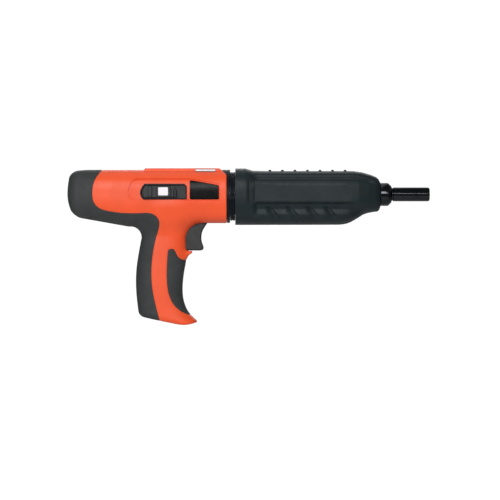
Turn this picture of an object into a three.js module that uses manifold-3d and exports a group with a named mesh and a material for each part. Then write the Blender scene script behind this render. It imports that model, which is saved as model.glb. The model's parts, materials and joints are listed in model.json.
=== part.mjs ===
// Powder-actuated fastening tool, pistol form, in millimetres.
// Working frame: +X towards the muzzle, +Z up, bore axis on Y = 0, Z = 0, housing front face at X = 0.
// The exported group moves that frame so that its origin is the middle of the grip.
import * as THREE from "three";
import { mergeVertices } from "three/addons/utils/BufferGeometryUtils.js";
import Module from "manifold-3d";

const wasm = await Module();
wasm.setup();

// ---- Driving dimensions ----
const GAP = 0.3; // between pieces that touch
const SLIDE_GAP = 0.3; // around pieces that slide
const SHELL_WALL = 3; // moulded housing
const CORE_ROOM = 3; // receiver to the housing's inside, at the sides
const ROOF_ROOM = 2.3; // receiver to the housing's inside, on top
const FLOOR_ROOM = 7.5; // receiver to the housing's inside, underneath at the front
const RECEIVER_RADIUS = 23;
const RECEIVER_WALL = 3;
const REAR_LENGTH = 184.9; // housing front face to its rear end
const REAR_ROUND = 17; // length of the domed rear end
const GRIP_DROP = 151; // bore axis to the lowest point of the grip
const GRIP_HALF_WIDTH = 17.5;
const MUFFLER_LENGTH = 168.2;
const MUFFLER_WALL = 3.5;
const MUFFLER_RIDGE = 1.5; // sleeve to the muffler's inside, on top
const SLEEVE_WALL = 1.5;
const COLLAR_LENGTH = 3.4; // front collar
const LOCK_RING_LENGTH = 5.6;
const LOCK_RING_RISE = 5.3; // lock ring's rim above the receiver
const LOCK_NOTCHES = 6;
const LOCK_NOTCH_RADIUS = 2;
const COLLAR_DROP = 2.4; // the collar and the lock ring sit low on the receiver
const PISTON_STROKE = 75;
const BORE_RADIUS = 8.5;
const FASTENER_BORE = 4.5; // muzzle tube bore radius
const BARREL_RADIUS = 15;
const BARREL_FRONT_RADIUS = 11;
const MUZZLE_RADIUS = 8.2;
const MUZZLE_REACH = 44.1; // muzzle tube standing out of its nut
const NUT_RADIUS = 13.55;
const NUT_LENGTH = 13.2;
const STRIP_LENGTH = 16; // load strip channel, along X
const STRIP_WIDTH = 10; // load strip channel, along Y
const STRIP_X = -74; // middle of the strip channel
const CHANNEL_WALL = 1.5;
const PIN_RADIUS = 1.8;
const PIN_GAP = 0.3;
const SCREW_RADIUS = 1.5;
const SCREW_HEAD_RADIUS = 3.2;
const SCREW_HEAD_HEIGHT = 2.4;
const SCREW_SOCKET_RADIUS = 1.3;
const BOSS_WALL = 2.2;
const TRIGGER_HALF_WIDTH = 6;
const GRIP_CENTRE_X = -77;
const GRIP_CENTRE_Z = -0.66 * GRIP_DROP;

// ---- Sizes worked out from them ----
const BODY_HALF_WIDTH = RECEIVER_RADIUS + CORE_ROOM + SHELL_WALL;
const BODY_TOP = RECEIVER_RADIUS + ROOF_ROOM + SHELL_WALL;
const BODY_BOTTOM = RECEIVER_RADIUS + FLOOR_ROOM + SHELL_WALL;
const BLOCK_RISE = 1.4;
const BLOCK_EDGE = 1.6; // rounded edges of the top rib
const BLOCK_HALF_WIDTH = 0.6 * BODY_HALF_WIDTH;
const RECEIVER_BORE = RECEIVER_RADIUS - RECEIVER_WALL;
const SLEEVE_RADIUS = RECEIVER_RADIUS - 1;
const MUFFLER_TOP = SLEEVE_RADIUS + MUFFLER_RIDGE + MUFFLER_WALL;
const MUFFLER_BOTTOM = MUFFLER_TOP + 8.5;
const MUFFLER_HALF_WIDTH = MUFFLER_TOP + 2.5;
const COLLAR_X = GAP;
const LOCK_RING_X = COLLAR_X + COLLAR_LENGTH + GAP;
const MUFFLER_X = LOCK_RING_X + LOCK_RING_LENGTH + GAP;
const MUFFLER_FRONT = MUFFLER_X + MUFFLER_LENGTH;
const MUFFLER_NECK = 14; // length of the threaded neck
const SLEEVE_FRONT = MUFFLER_FRONT - 38;
const RECEIVER_FRONT = MUFFLER_X + MUFFLER_NECK;
const BREECH_FACE = STRIP_X - STRIP_LENGTH / 2 - GAP;
const BREECH_LENGTH = 13.4;
const BREECH_REAR = BREECH_FACE - BREECH_LENGTH;
const BARREL_REAR = STRIP_X + STRIP_LENGTH / 2 + GAP;
const BARREL_COLLAR_X = RECEIVER_FRONT + 36;
const BARREL_COLLAR_LENGTH = 6;
const NUT_X = MUFFLER_FRONT - GAP;
const NUT_FRONT = NUT_X + NUT_LENGTH;
const MUZZLE_TIP = NUT_FRONT + MUZZLE_REACH;
const NUT_LIP = 3.6;
const FLANGE_LENGTH = 2.7;
const BARREL_FRONT = NUT_FRONT - NUT_LIP - 2 * GAP - FLANGE_LENGTH;
const RECEIVER_REAR = -(REAR_LENGTH - 27);
const STRIKER_FRONT = BREECH_REAR - 2;
const GRIP_NECK_FRONT = -48;
const GRIP_NECK_BACK = -98.8;
const ARC_LENGTH = 19; // hollow behind the trigger, along X
const ARC_HEIGHT = 18.7;
const ARC_Z = -(BODY_BOTTOM + ARC_HEIGHT);
const HEEL_LENGTH = 14.8; // web between the underside and the back of the grip
const HEEL_HEIGHT = 15.5;
const HEEL_Z = ARC_Z - 0.8;
const HEEL_POWER = 2.6;
const REAR_DEPTH = RECEIVER_RADIUS + 1.8; // underside below the bore axis at the rear end
const FOOT_BACK = 0.946; // the foot's height at the back of the neck, as a share of the grip's drop
const FOOT_SLOPE = 0.15;
const MOUTH_RIM = 2; // the mouth's bezel round the channel's wall
const BROW_LENGTH = 7.5; // chamfer of the housing's top front corner
const BROW_DROP = 7;
const FAR = 400; // longer than the tool, for cutting blocks
const FINE = 36; // sides of the large round pieces
const COARSE = 20; // sides of the small round pieces

// ---- Helpers ----
function solid(geometry) {
  const bare = geometry.index ? geometry.toNonIndexed() : geometry.clone();
  bare.deleteAttribute("normal");
  bare.deleteAttribute("uv");
  const merged = mergeVertices(bare, 1e-4);
  const mesh = new wasm.Mesh({
    numProp: 3,
    vertProperties: new Float32Array(merged.attributes.position.array),
    triVerts: new Uint32Array(merged.index.array),
  });
  return new wasm.Manifold(mesh);
}

function geometryOf(manifold) {
  const mesh = manifold.getMesh();
  const geometry = new THREE.BufferGeometry();
  geometry.setAttribute("position", new THREE.BufferAttribute(mesh.vertProperties, 3));
  geometry.setIndex(new THREE.BufferAttribute(mesh.triVerts, 1));
  geometry.computeVertexNormals();
  return geometry;
}

function joined(...solids) {
  return solids.reduce((sum, next) => sum.add(next));
}

function block(x0, x1, y0, y1, z0, z1) {
  const geometry = new THREE.BoxGeometry(x1 - x0, y1 - y0, z1 - z0);
  geometry.translate((x0 + x1) / 2, (y0 + y1) / 2, (z0 + z1) / 2);
  return solid(geometry);
}

// A solid of revolution about the bore axis, from a list of [x, radius].
// A profile either starts and ends on the axis, or closes on itself.
function turned(profile, segments = 28) {
  const points = profile.map(([x, r]) => new THREE.Vector2(r, x));
  if (profile[0][1] > 0) points.push(points[0].clone());
  const made = (outline) => {
    const geometry = new THREE.LatheGeometry(outline, segments);
    geometry.rotateZ(-Math.PI / 2);
    return solid(geometry);
  };
  const first = made(points);
  return first.volume() > 0 ? first : made(points.reverse());
}

function ringAbout(x0, x1, outer, inner, segments = 28) {
  return turned([[x0, inner], [x1, inner], [x1, outer], [x0, outer]], segments);
}

function rod(x0, x1, radius, segments = 28) {
  return turned([[x0, 0], [x0, radius], [x1, radius], [x1, 0]], segments);
}

// A cylinder along Y at (x, z).
function pinAcross(x, z, y0, y1, radius, segments = 16) {
  const geometry = new THREE.CylinderGeometry(radius, radius, y1 - y0, segments);
  geometry.translate(x, (y0 + y1) / 2, z);
  return solid(geometry);
}

// An outline in the X-Z plane, extruded along Y.
function prismAcross(points, y0, y1) {
  const shape = new THREE.Shape(points);
  const geometry = new THREE.ExtrudeGeometry(shape, { depth: y1 - y0, bevelEnabled: false });
  geometry.rotateX(Math.PI / 2);
  geometry.translate(0, y1, 0);
  return solid(geometry);
}

// A smooth curve through a few points, as a list of points.
function smooth(points, steps) {
  const curve = new THREE.SplineCurve(points.map(([x, z]) => new THREE.Vector2(x, z)));
  return curve.getPoints(steps);
}

// An outline moved outwards by a distance.
function grown(points, distance) {
  const turn = THREE.ShapeUtils.area(points) > 0 ? 1 : -1;
  return points.map((point, i) => {
    const before = points[(i + points.length - 1) % points.length];
    const after = points[(i + 1) % points.length];
    const inward = new THREE.Vector2().subVectors(point, before).normalize();
    const outward = new THREE.Vector2().subVectors(after, point).normalize();
    const along = inward.add(outward).normalize();
    return new THREE.Vector2(point.x + turn * along.y * distance, point.y - turn * along.x * distance);
  });
}

// An outline from a list of [x, z], moved to a place.
function outlineAt(points, x = 0, z = 0) {
  return points.map(([dx, dz]) => new THREE.Vector2(x + dx, z + dz));
}

// A closed solid through a list of rings, each a list of [x, y, z].
function loft(rings) {
  const count = rings[0].length;
  const positions = [];
  const index = [];
  const centre = (ring) => [0, 1, 2].map((k) => ring.reduce((sum, p) => sum + p[k], 0) / count);
  rings.forEach((ring) => ring.forEach((p) => positions.push(...p)));
  const first = rings.length * count;
  const last = first + 1;
  positions.push(...centre(rings[0]), ...centre(rings[rings.length - 1]));
  for (let i = 0; i < count; i++) {
    const j = (i + 1) % count;
    for (let r = 0; r < rings.length - 1; r++) {
      const a = r * count;
      const b = a + count;
      index.push(a + i, a + j, b + j, a + i, b + j, b + i);
    }
    const end = (rings.length - 1) * count;
    index.push(first, j, i, last, end + i, end + j);
  }
  const geometry = new THREE.BufferGeometry();
  geometry.setAttribute("position", new THREE.Float32BufferAttribute(positions, 3));
  geometry.setIndex(index);
  const made = solid(geometry);
  if (made.volume() > 0) return made;
  for (let i = 0; i < index.length; i += 3) [index[i + 1], index[i + 2]] = [index[i + 2], index[i + 1]];
  geometry.setIndex(index);
  return solid(geometry);
}

// Signed power, for superellipses.
function power(value, exponent) {
  return Math.sign(value) * Math.abs(value) ** exponent;
}

// A rounded section across X: half width, height above and depth below the bore axis.
function section(x, halfWidth, top, bottom, exponent, count) {
  const ring = [];
  for (let i = 0; i < count; i++) {
    const angle = (2 * Math.PI * i) / count;
    const y = halfWidth * power(Math.cos(angle), 2 / exponent);
    const lift = power(Math.sin(angle), 2 / exponent);
    ring.push([x, y, lift > 0 ? lift * top : lift * bottom]);
  }
  return ring;
}

class Helix extends THREE.Curve {
  constructor(x0, x1, radius, turns) {
    super();
    Object.assign(this, { x0, x1, radius, turns });
  }
  getPoint(t, target = new THREE.Vector3()) {
    const angle = 2 * Math.PI * this.turns * t;
    const x = this.x0 + (this.x1 - this.x0) * t;
    return target.set(x, this.radius * Math.cos(angle), this.radius * Math.sin(angle));
  }
}

// A coil spring along X that fills x0 to x1, wire included.
function spring(x0, x1, meanRadius, wire, turns, stepsPerTurn = 10, sides = 5) {
  const path = new Helix(x0 + wire, x1 - wire, meanRadius, turns);
  const outline = new THREE.Shape();
  for (let i = 0; i < sides; i++) {
    const angle = (2 * Math.PI * i) / sides;
    const at = [wire * Math.cos(angle), wire * Math.sin(angle)];
    if (i) outline.lineTo(...at);
    else outline.moveTo(...at);
  }
  outline.closePath();
  const steps = Math.round(turns * stepsPerTurn);
  return new THREE.ExtrudeGeometry(outline, { steps, bevelEnabled: false, extrudePath: path });
}

// ---- Housing forms ----
const OUTER_POINTS = 26;
const INNER_POINTS = 16;
const BODY_POWER = 3;
const REAR_TAPER = 0.06; // share of its width the body loses towards the rear
const DOME_POWER = 2.6;
const DOME_END = 0.985; // share of the dome's length that is rounded, the rest is flat

// How far the domed rear end has closed in at x: 1 on the straight part, less towards the end.
function rearDome(x, inset) {
  const into = -(REAR_LENGTH - inset) + REAR_ROUND - x;
  if (into <= 0) return 1;
  return (1 - Math.min(into / REAR_ROUND, DOME_END) ** DOME_POWER) ** (1 / DOME_POWER);
}

// Depth of the underside below the bore axis.
function undersideAt(x) {
  const arcFront = GRIP_NECK_FRONT + ARC_LENGTH;
  const heelBack = GRIP_NECK_BACK - HEEL_LENGTH;
  if (x >= arcFront) return BODY_BOTTOM;
  if (x >= GRIP_NECK_FRONT) return -ARC_Z - ARC_HEIGHT * Math.sqrt(1 - ((arcFront - x) / ARC_LENGTH) ** 2);
  if (x >= GRIP_NECK_BACK) return -HEEL_Z;
  if (x >= heelBack) {
    const across = (x - heelBack) / HEEL_LENGTH;
    return -HEEL_Z - HEEL_HEIGHT * (1 - across ** HEEL_POWER) ** (1 / HEEL_POWER);
  }
  const heelDepth = -HEEL_Z - HEEL_HEIGHT;
  return heelDepth + (REAR_DEPTH - heelDepth) * ((heelBack - x) / (heelBack + REAR_LENGTH));
}

// The upper housing with every face moved in by inset.
function upperHousing(inset, front) {
  const rear = -(REAR_LENGTH - inset);
  const stops = [0, 0.06, 0.16, 0.3, 0.5, 0.75, 1].map((u) => rear + 0.2 + REAR_ROUND * u);
  const heelBack = GRIP_NECK_BACK - HEEL_LENGTH;
  const arcFront = GRIP_NECK_FRONT + ARC_LENGTH;
  stops.push((stops[6] + heelBack) / 2, heelBack);
  [0.35, 0.6, 0.8, 0.93, 1].forEach((u) => stops.push(heelBack + inset + HEEL_LENGTH * u));
  stops.push((GRIP_NECK_BACK + GRIP_NECK_FRONT) / 2);
  [0, 0.03, 0.1, 0.22, 0.4, 0.65, 1].forEach((u) => stops.push(GRIP_NECK_FRONT - inset + ARC_LENGTH * u));
  stops.push(arcFront + 4, front);
  const count = inset > 0 ? INNER_POINTS : OUTER_POINTS;
  const rings = stops.map((x) => {
    const dome = rearDome(x, inset);
    const under = Math.max(undersideAt(x - inset), undersideAt(Math.min(x + inset, front)));
    const depth = Math.min(under, undersideAt(x) + 0.001);
    const taper = 1 - REAR_TAPER * Math.min(1, -x / REAR_LENGTH);
    const halfWidth = (BODY_HALF_WIDTH * taper - inset) * dome;
    return section(x, halfWidth, (BODY_TOP - inset) * dome, (depth - inset) * dome, BODY_POWER, count);
  });
  return loft(rings);
}

// The grip from its neck to its foot: [front x, front z, back x, back z, width share].
// The heights are shares of the grip's drop.
const GRIP_EDGES = [
  [GRIP_NECK_FRONT, -0.27, GRIP_NECK_BACK, -0.27, 1.02],
  [GRIP_NECK_FRONT, -0.38, GRIP_NECK_BACK - 1.2, -0.38, 1],
  [GRIP_NECK_FRONT, -0.5, GRIP_NECK_BACK - 4.5, -0.5, 0.98],
  [GRIP_NECK_FRONT - 2.8, -0.66, GRIP_NECK_BACK - 6.4, -0.645, 1],
  [GRIP_NECK_FRONT - 3, -0.76, GRIP_NECK_BACK - 6.1, -0.74, 1],
  [GRIP_NECK_FRONT + 0.9, -0.868, GRIP_NECK_BACK - 4.6, -0.83, 1],
  [GRIP_NECK_FRONT + 6, -0.926, GRIP_NECK_BACK - 3.6, -0.885, 1.03],
  [GRIP_NECK_FRONT + 11.8, -0.966, GRIP_NECK_BACK - 2.6, -0.917, 1.04],
];

const GRIP_POWER = 0.72; // squareness of the grip's section
const FOOT_LIFT = 0.88; // share of the drop below which the grip's inside stands off its foot
// Rings that round off the foot: [front x, front z, back x, back z, width share], from the last grip edge.
const FOOT_RINGS = [
  [-1.5, -2.6, 3, -2.4, 0.97],
  [-6.6, -5.5, 8, -5.2, 0.86],
];

// The grip with every face moved in by inset.
function grip(inset) {
  const fronts = new THREE.SplineCurve(GRIP_EDGES.map(([x, z]) => new THREE.Vector2(x, z * GRIP_DROP)));
  const backs = new THREE.SplineCurve(GRIP_EDGES.map(([, , x, z]) => new THREE.Vector2(x, z * GRIP_DROP)));
  const steps = inset > 0 ? 7 : 10;
  const rings = [];
  const addRing = (front, back, halfWidth) => {
    const ring = [];
    const count = inset > 0 ? 14 : 20;
    for (let i = 0; i < count; i++) {
      const angle = (2 * Math.PI * i) / count;
      const along = (1 + power(Math.cos(angle), GRIP_POWER)) / 2;
      const x = back.x + (front.x - back.x) * along;
      const z = back.y + (front.y - back.y) * along;
      ring.push([x, -halfWidth * power(Math.sin(angle), GRIP_POWER), z]);
    }
    rings.push(ring);
  };
  for (let i = 0; i <= steps; i++) {
    const share = i / steps;
    const front = fronts.getPoint(share);
    const back = backs.getPoint(share);
    const row = share * (GRIP_EDGES.length - 1);
    const low = Math.min(Math.floor(row), GRIP_EDGES.length - 2);
    const width = GRIP_EDGES[low][4] + (GRIP_EDGES[low + 1][4] - GRIP_EDGES[low][4]) * (row - low);
    front.x -= inset;
    back.x += inset;
    addRing(front, back, width * GRIP_HALF_WIDTH - inset);
  }
  if (inset > 0) return loft(rings.map((ring) => ring.map(([x, y, z]) => [x, y, z + inset * liftAt(z)])));
  const footWidth = GRIP_EDGES[GRIP_EDGES.length - 1][4] * GRIP_HALF_WIDTH;
  FOOT_RINGS.forEach(([frontX, frontZ, backX, backZ, width]) => {
    const front = fronts.getPoint(1).add({ x: frontX, y: frontZ });
    const back = backs.getPoint(1).add({ x: backX, y: backZ });
    addRing(front, back, footWidth * width);
  });
  return loft(rings);
}

// The inside of the grip stands off its foot, and not off the top where it opens into the body.
function liftAt(z) {
  return z < -FOOT_LIFT * GRIP_DROP ? 1 : 0;
}

// The raised rib along the top.
function topBlock() {
  const rear = GRIP_NECK_BACK + 4.3;
  const top = BODY_TOP + BLOCK_RISE;
  const shoulder = top - BLOCK_EDGE - 1;
  const rings = [rear, 0].map((x) => [
    [x, -BLOCK_HALF_WIDTH, BODY_TOP / 2],
    [x, -BLOCK_HALF_WIDTH, shoulder],
    [x, -BLOCK_HALF_WIDTH + BLOCK_EDGE, top],
    [x, BLOCK_HALF_WIDTH - BLOCK_EDGE, top],
    [x, BLOCK_HALF_WIDTH, shoulder],
    [x, BLOCK_HALF_WIDTH, BODY_TOP / 2],
  ]);
  return loft(rings);
}

const FINGER_STOP = [[-5, -9.5], [4, -14], [6.5, -14.2], [7.6, -15.6], [0.4, -22], [-5, -23]];
const FINGER_STOP_HALF_WIDTH = 8;

// The finger stop under the trigger.
function fingerStop() {
  const outline = outlineAt(FINGER_STOP, GRIP_NECK_FRONT, ARC_Z);
  return prismAcross(outline, -FINGER_STOP_HALF_WIDTH, FINGER_STOP_HALF_WIDTH);
}

// The corner cut off the top of the front face.
function browCut() {
  const corner = [[-BROW_LENGTH, BODY_TOP + 1], [0.5, BODY_TOP - BROW_DROP], [0.5, FAR], [-BROW_LENGTH, FAR]];
  return prismAcross(outlineAt(corner), -FAR, FAR);
}

const outerForm = joined(upperHousing(0, 0), grip(0), topBlock(), fingerStop()).subtract(browCut());
const innerForm = upperHousing(SHELL_WALL, -SHELL_WALL).add(grip(SHELL_WALL));

// ---- Outlines of the covers, in the X-Z plane ----
const coverLine = smooth([
  [-143.6, BODY_TOP + 0.2], [-151.3, 0.58 * BODY_TOP], [-154.4, 0.8], [-150.8, -12.5], [-141.3, -18.6],
  [-121.3, -21.9], [-90, -22], [-80.5, -26], [-77.5, -34], [-81.9, -0.34 * GRIP_DROP],
  [-86.4, -0.52 * GRIP_DROP], [-86.2, -0.7 * GRIP_DROP], [-82.5, -0.84 * GRIP_DROP],
  [-77.1, -0.973 * GRIP_DROP],
], 26);
const coverOutline = [
  new THREE.Vector2(-143.6, FAR), ...coverLine,
  new THREE.Vector2(-75, -FAR), new THREE.Vector2(-FAR, -FAR), new THREE.Vector2(-FAR, FAR),
];
const insertOutline = smooth([
  [-30, -0.5 * GRIP_DROP], [-49.9, -0.5 * GRIP_DROP], [-57.3, -0.465 * GRIP_DROP], [-61.5, -0.42 * GRIP_DROP],
  [-67.6, -0.43 * GRIP_DROP], [-69.1, -0.6 * GRIP_DROP], [-68, -0.73 * GRIP_DROP], [-61.5, -0.84 * GRIP_DROP],
  [-53.6, -0.89 * GRIP_DROP], [-44, -0.92 * GRIP_DROP], [-26, -0.96 * GRIP_DROP],
], 22);

// ---- Fixings of the housing ----
const SCREWS = [
  { name: "front", x: -12, z: -(BODY_BOTTOM - SHELL_WALL - 1.6), half: 0.68 * BODY_HALF_WIDTH },
  { name: "neck", x: -57.5, z: -0.395 * GRIP_DROP, half: GRIP_HALF_WIDTH - 1.2 },
  { name: "foot", x: -55.5, z: -0.932 * GRIP_DROP, half: GRIP_HALF_WIDTH - 1.2 },
];
const bossRadius = SCREW_HEAD_RADIUS + BOSS_WALL - GAP;
const screwHole = SCREW_RADIUS + GAP;

function screwBoss({ x, z, half }) {
  return pinAcross(x, z, -half, half, bossRadius, 24);
}

function screwCut({ x, z, half }) {
  const seat = half - SCREW_HEAD_HEIGHT - GAP;
  return joined(
    pinAcross(x, z, -0.5 * half - GAP, seat + 0.5, screwHole),
    pinAcross(x, z, seat, FAR, SCREW_HEAD_RADIUS + GAP, 24),
  );
}

function screw({ x, z, half }) {
  const seat = half - SCREW_HEAD_HEIGHT;
  const head = pinAcross(x, z, seat, half, SCREW_HEAD_RADIUS, 24);
  const shank = pinAcross(x, z, -0.5 * half, seat + 0.5, SCREW_RADIUS);
  const socket = pinAcross(x, z, half - 1, half + 1, SCREW_SOCKET_RADIUS, 6);
  return head.add(shank).subtract(socket);
}

// ---- Trigger group places ----
const PIVOT_X = -36;
const PIVOT_Z = -(RECEIVER_RADIUS + 5.5);
const SEAR_X = -110.5;
const SEAR_Z = -(RECEIVER_RADIUS + 5.4);
const BAR_Y = TRIGGER_HALF_WIDTH + 1.5;
const BAR_WIDTH = 2.2;
const BAR_Z = PIVOT_Z - 4.3;
const BAR_HALF_HEIGHT = 1.4;
const PIN_HALF_LENGTH = 13;
const LEVER_X = -57.5;
const LEVER_Z = -(RECEIVER_RADIUS + 13);
const SLOT_LOW = ARC_Z - 13.9;
const SLOT_FRONT = -21.5;
const SPRING_Z = -0.314 * GRIP_DROP;
const TRIGGER_BACK = -50.2;
const LUG_FRONT = PIVOT_X - 4.2;

// A pin held at both ends in blind bosses on the side walls.
function pinBosses(x, z, halfWidth, from) {
  const right = pinAcross(x, z, -halfWidth, -from, PIN_RADIUS + BOSS_WALL);
  const left = pinAcross(x, z, from, halfWidth, PIN_RADIUS + BOSS_WALL);
  const reach = PIN_HALF_LENGTH + GAP;
  return { right, left, hole: pinAcross(x, z, -reach, reach, PIN_RADIUS + GAP) };
}

const BOSS_INNER = BAR_Y + BAR_WIDTH + 1; // inner face of the pin bosses
const triggerBosses = pinBosses(PIVOT_X, PIVOT_Z, 0.75 * BODY_HALF_WIDTH, BOSS_INNER);
const searBosses = pinBosses(SEAR_X, SEAR_Z, 0.72 * BODY_HALF_WIDTH, BOSS_INNER);

// ---- Slider window, label seat and top plate ----
const WINDOW = { rear: -99.1, front: -45.2, top: 11, bottom: -5.9 };
const SLIDER = { rear: -97.8, front: -57.3, top: 10, bottom: -5.2 };
const windowOutline = outlineAt([
  [WINDOW.rear, 0.2], [WINDOW.rear + 2.7, WINDOW.bottom], [WINDOW.front, WINDOW.bottom],
  [WINDOW.front, WINDOW.top - 1.5], [WINDOW.front - 1.5, WINDOW.top], [WINDOW.rear + 4, WINDOW.top],
]);
const sliderOutline = outlineAt([
  [SLIDER.rear + 0.3, 0.2], [SLIDER.rear + 2.6, SLIDER.bottom], [SLIDER.front, SLIDER.bottom],
  [SLIDER.front, SLIDER.top - 3.5], [SLIDER.front - 3.5, SLIDER.top], [SLIDER.rear + 3.6, SLIDER.top],
]);
const labelOutline = outlineAt([[-42.3, -6], [-9, -6], [-9.3, 10.2], [-38.9, 15], [-42.3, 15]]);
const SIDE_Y = -BODY_HALF_WIDTH; // outermost side of the body
const TRACK_Y = SIDE_Y + SHELL_WALL + 0.2;
const LABEL_THICKNESS = 1;
const PLATE_REAR = -36;
const PLATE_FRONT = -12.9;
const PLATE_LOW = BODY_TOP - 2.4;
const PLATE_HIGH = BODY_TOP + 0.2;
const PLATE_DEPTH = 1.6;

function labelSeat() {
  return prismAcross(grown(labelOutline, GAP), SIDE_Y - 5, SIDE_Y + LABEL_THICKNESS + 2 * GAP);
}

// A steel plate let into the right flank of the top rib.
function shoulderPlateRegion(extra) {
  const y = -BLOCK_HALF_WIDTH + PLATE_DEPTH + extra;
  return block(PLATE_REAR - extra, PLATE_FRONT + extra, -FAR, y, PLATE_LOW - extra, PLATE_HIGH + extra);
}

function shoulderPlate() {
  return outerForm.intersect(shoulderPlateRegion(0));
}

function stripCut() {
  const x = STRIP_LENGTH / 2;
  return block(STRIP_X - x, STRIP_X + x, -STRIP_WIDTH / 2, STRIP_WIDTH / 2, -FAR, FAR);
}

function channelRoom() {
  const x = STRIP_LENGTH / 2 + CHANNEL_WALL + GAP;
  const y = STRIP_WIDTH / 2 + CHANNEL_WALL + GAP;
  return block(STRIP_X - x, STRIP_X + x, -y, y, -FAR, -RECEIVER_RADIUS);
}

function triggerSlot() {
  const y = TRIGGER_HALF_WIDTH + 0.5;
  const rear = TRIGGER_BACK - 6;
  const lugRoom = block(rear, LUG_FRONT + 0.7, 0, BAR_Y + BAR_WIDTH + 0.6, BAR_Z - 2.6, PIVOT_Z);
  return block(rear, SLOT_FRONT, -y, y, SLOT_LOW, PIVOT_Z).add(lugRoom);
}

const LIP_LENGTH = 5.6;
const LIP_Z = 0.72 * RECEIVER_RADIUS + 3;

// ---- Housing pieces ----
function housingWall() {
  const bosses = joined(...SCREWS.map(screwBoss), triggerBosses.right, triggerBosses.left);
  return outerForm
    .subtract(innerForm)
    .add(bosses.intersect(outerForm))
    .subtract(prismAcross(grown(coverOutline, GAP), -FAR, FAR))
    .subtract(prismAcross(grown(insertOutline, GAP), -FAR, FAR))
    .subtract(triggerBosses.hole)
    .subtract(joined(...SCREWS.map(screwCut)))
    .subtract(rod(-20, 20, RECEIVER_RADIUS + GAP, FINE))
    .subtract(prismAcross(windowOutline, -FAR, -RECEIVER_RADIUS))
    .subtract(labelSeat())
    .subtract(collarLip(GAP))
    .subtract(shoulderPlateRegion(GAP))
    .subtract(mouthRegion(GAP))
    .subtract(stripCut().trimByPlane([0, 0, 1], 0))
    .subtract(channelRoom())
    .subtract(triggerSlot());
}

const wall = housingWall();
const housingRight = wall.intersect(block(-FAR, FAR, -FAR, -GAP / 2, -FAR, FAR));
const housingLeft = wall.intersect(block(-FAR, FAR, GAP / 2, FAR, -FAR, FAR));

function rearCover() {
  return outerForm
    .subtract(innerForm)
    .add(joined(searBosses.right, searBosses.left).intersect(outerForm))
    .intersect(prismAcross(coverOutline, -FAR, FAR))
    .subtract(searBosses.hole)
    .subtract(rod(-REAR_LENGTH - 1, -REAR_LENGTH + SHELL_WALL + 1, screwHole + 0.5, 20))
    .subtract(rod(-REAR_LENGTH - 1, -REAR_LENGTH + 1.8, SCREW_HEAD_RADIUS + GAP, 24))
    .subtract(mouthRegion(GAP))
    .subtract(channelRoom());
}

function frontInsert() {
  return outerForm
    .subtract(innerForm)
    .intersect(prismAcross(insertOutline, -FAR, FAR))
    .subtract(channelRoom());
}

// ---- Barrel line ----
function receiverTube() {
  const wallSolid = ringAbout(RECEIVER_REAR, RECEIVER_FRONT, RECEIVER_RADIUS, RECEIVER_BORE, FINE);
  const side = TRIGGER_HALF_WIDTH;
  return wallSolid
    .subtract(stripCut())
    .subtract(block(SEAR_X - 2, SEAR_X + 16, -side, side, -FAR, 0));
}

function guideBush() {
  return ringAbout(-2, COLLAR_X + 6, RECEIVER_BORE - GAP, BARREL_RADIUS + SLIDE_GAP);
}

function barrel() {
  const rear = BARREL_REAR;
  const collarRear = BARREL_COLLAR_X;
  const collarFront = collarRear + BARREL_COLLAR_LENGTH;
  const guideRadius = RECEIVER_BORE - SLIDE_GAP;
  return turned([
    [rear, 3.6], [rear + 12, 3.6], [rear + 14, BORE_RADIUS], [BARREL_FRONT, BORE_RADIUS],
    [BARREL_FRONT, BARREL_FRONT_RADIUS], [collarFront + 6, BARREL_FRONT_RADIUS],
    [collarFront + 2, BARREL_RADIUS], [collarFront, BARREL_RADIUS], [collarFront, guideRadius],
    [collarRear, guideRadius], [collarRear, BARREL_RADIUS],
    [rear + 14, BARREL_RADIUS], [rear + 12, guideRadius], [rear + 1, guideRadius], [rear, guideRadius - 1],
  ], 24);
}

const PISTON_REAR = BARREL_REAR + 16;
const PISTON_HEAD = 20;
const ROD_RADIUS = FASTENER_BORE - SLIDE_GAP;
const RING_X = PISTON_REAR + 12;
const RING_LENGTH = 2.4;
const BUFFER_X = PISTON_REAR + PISTON_HEAD + PISTON_STROKE + GAP;
const BUFFER_LENGTH = 16;
const MUZZLE_REAR = BUFFER_X + BUFFER_LENGTH + GAP;

function piston() {
  const head = BORE_RADIUS - SLIDE_GAP;
  return turned([
    [PISTON_REAR, 0], [PISTON_REAR, head - 2.5], [PISTON_REAR + 5, head], [RING_X - GAP, head],
    [RING_X - GAP, head - 2], [RING_X + RING_LENGTH + GAP, head - 2], [RING_X + RING_LENGTH + GAP, head],
    [PISTON_REAR + PISTON_HEAD - 3, head], [PISTON_REAR + PISTON_HEAD, ROD_RADIUS],
    [MUZZLE_TIP - PISTON_STROKE, ROD_RADIUS], [MUZZLE_TIP - PISTON_STROKE, 0],
  ], COARSE);
}

function pistonRing() {
  const outer = BORE_RADIUS - 0.12;
  const inner = BORE_RADIUS - SLIDE_GAP - 2 + GAP;
  const whole = ringAbout(RING_X, RING_X + RING_LENGTH, outer, inner, COARSE);
  return whole.subtract(block(RING_X - 1, RING_X + RING_LENGTH + 1, -0.6, 0.6, 0, FAR));
}

function bufferRing() {
  const middle = BUFFER_X + BUFFER_LENGTH / 2;
  const outer = BORE_RADIUS - GAP;
  const inner = FASTENER_BORE;
  return turned([
    [BUFFER_X, inner], [BUFFER_X + BUFFER_LENGTH, inner], [BUFFER_X + BUFFER_LENGTH, outer],
    [middle + 2, outer], [middle, outer - 1], [middle - 2, outer], [BUFFER_X, outer],
  ], COARSE);
}

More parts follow.
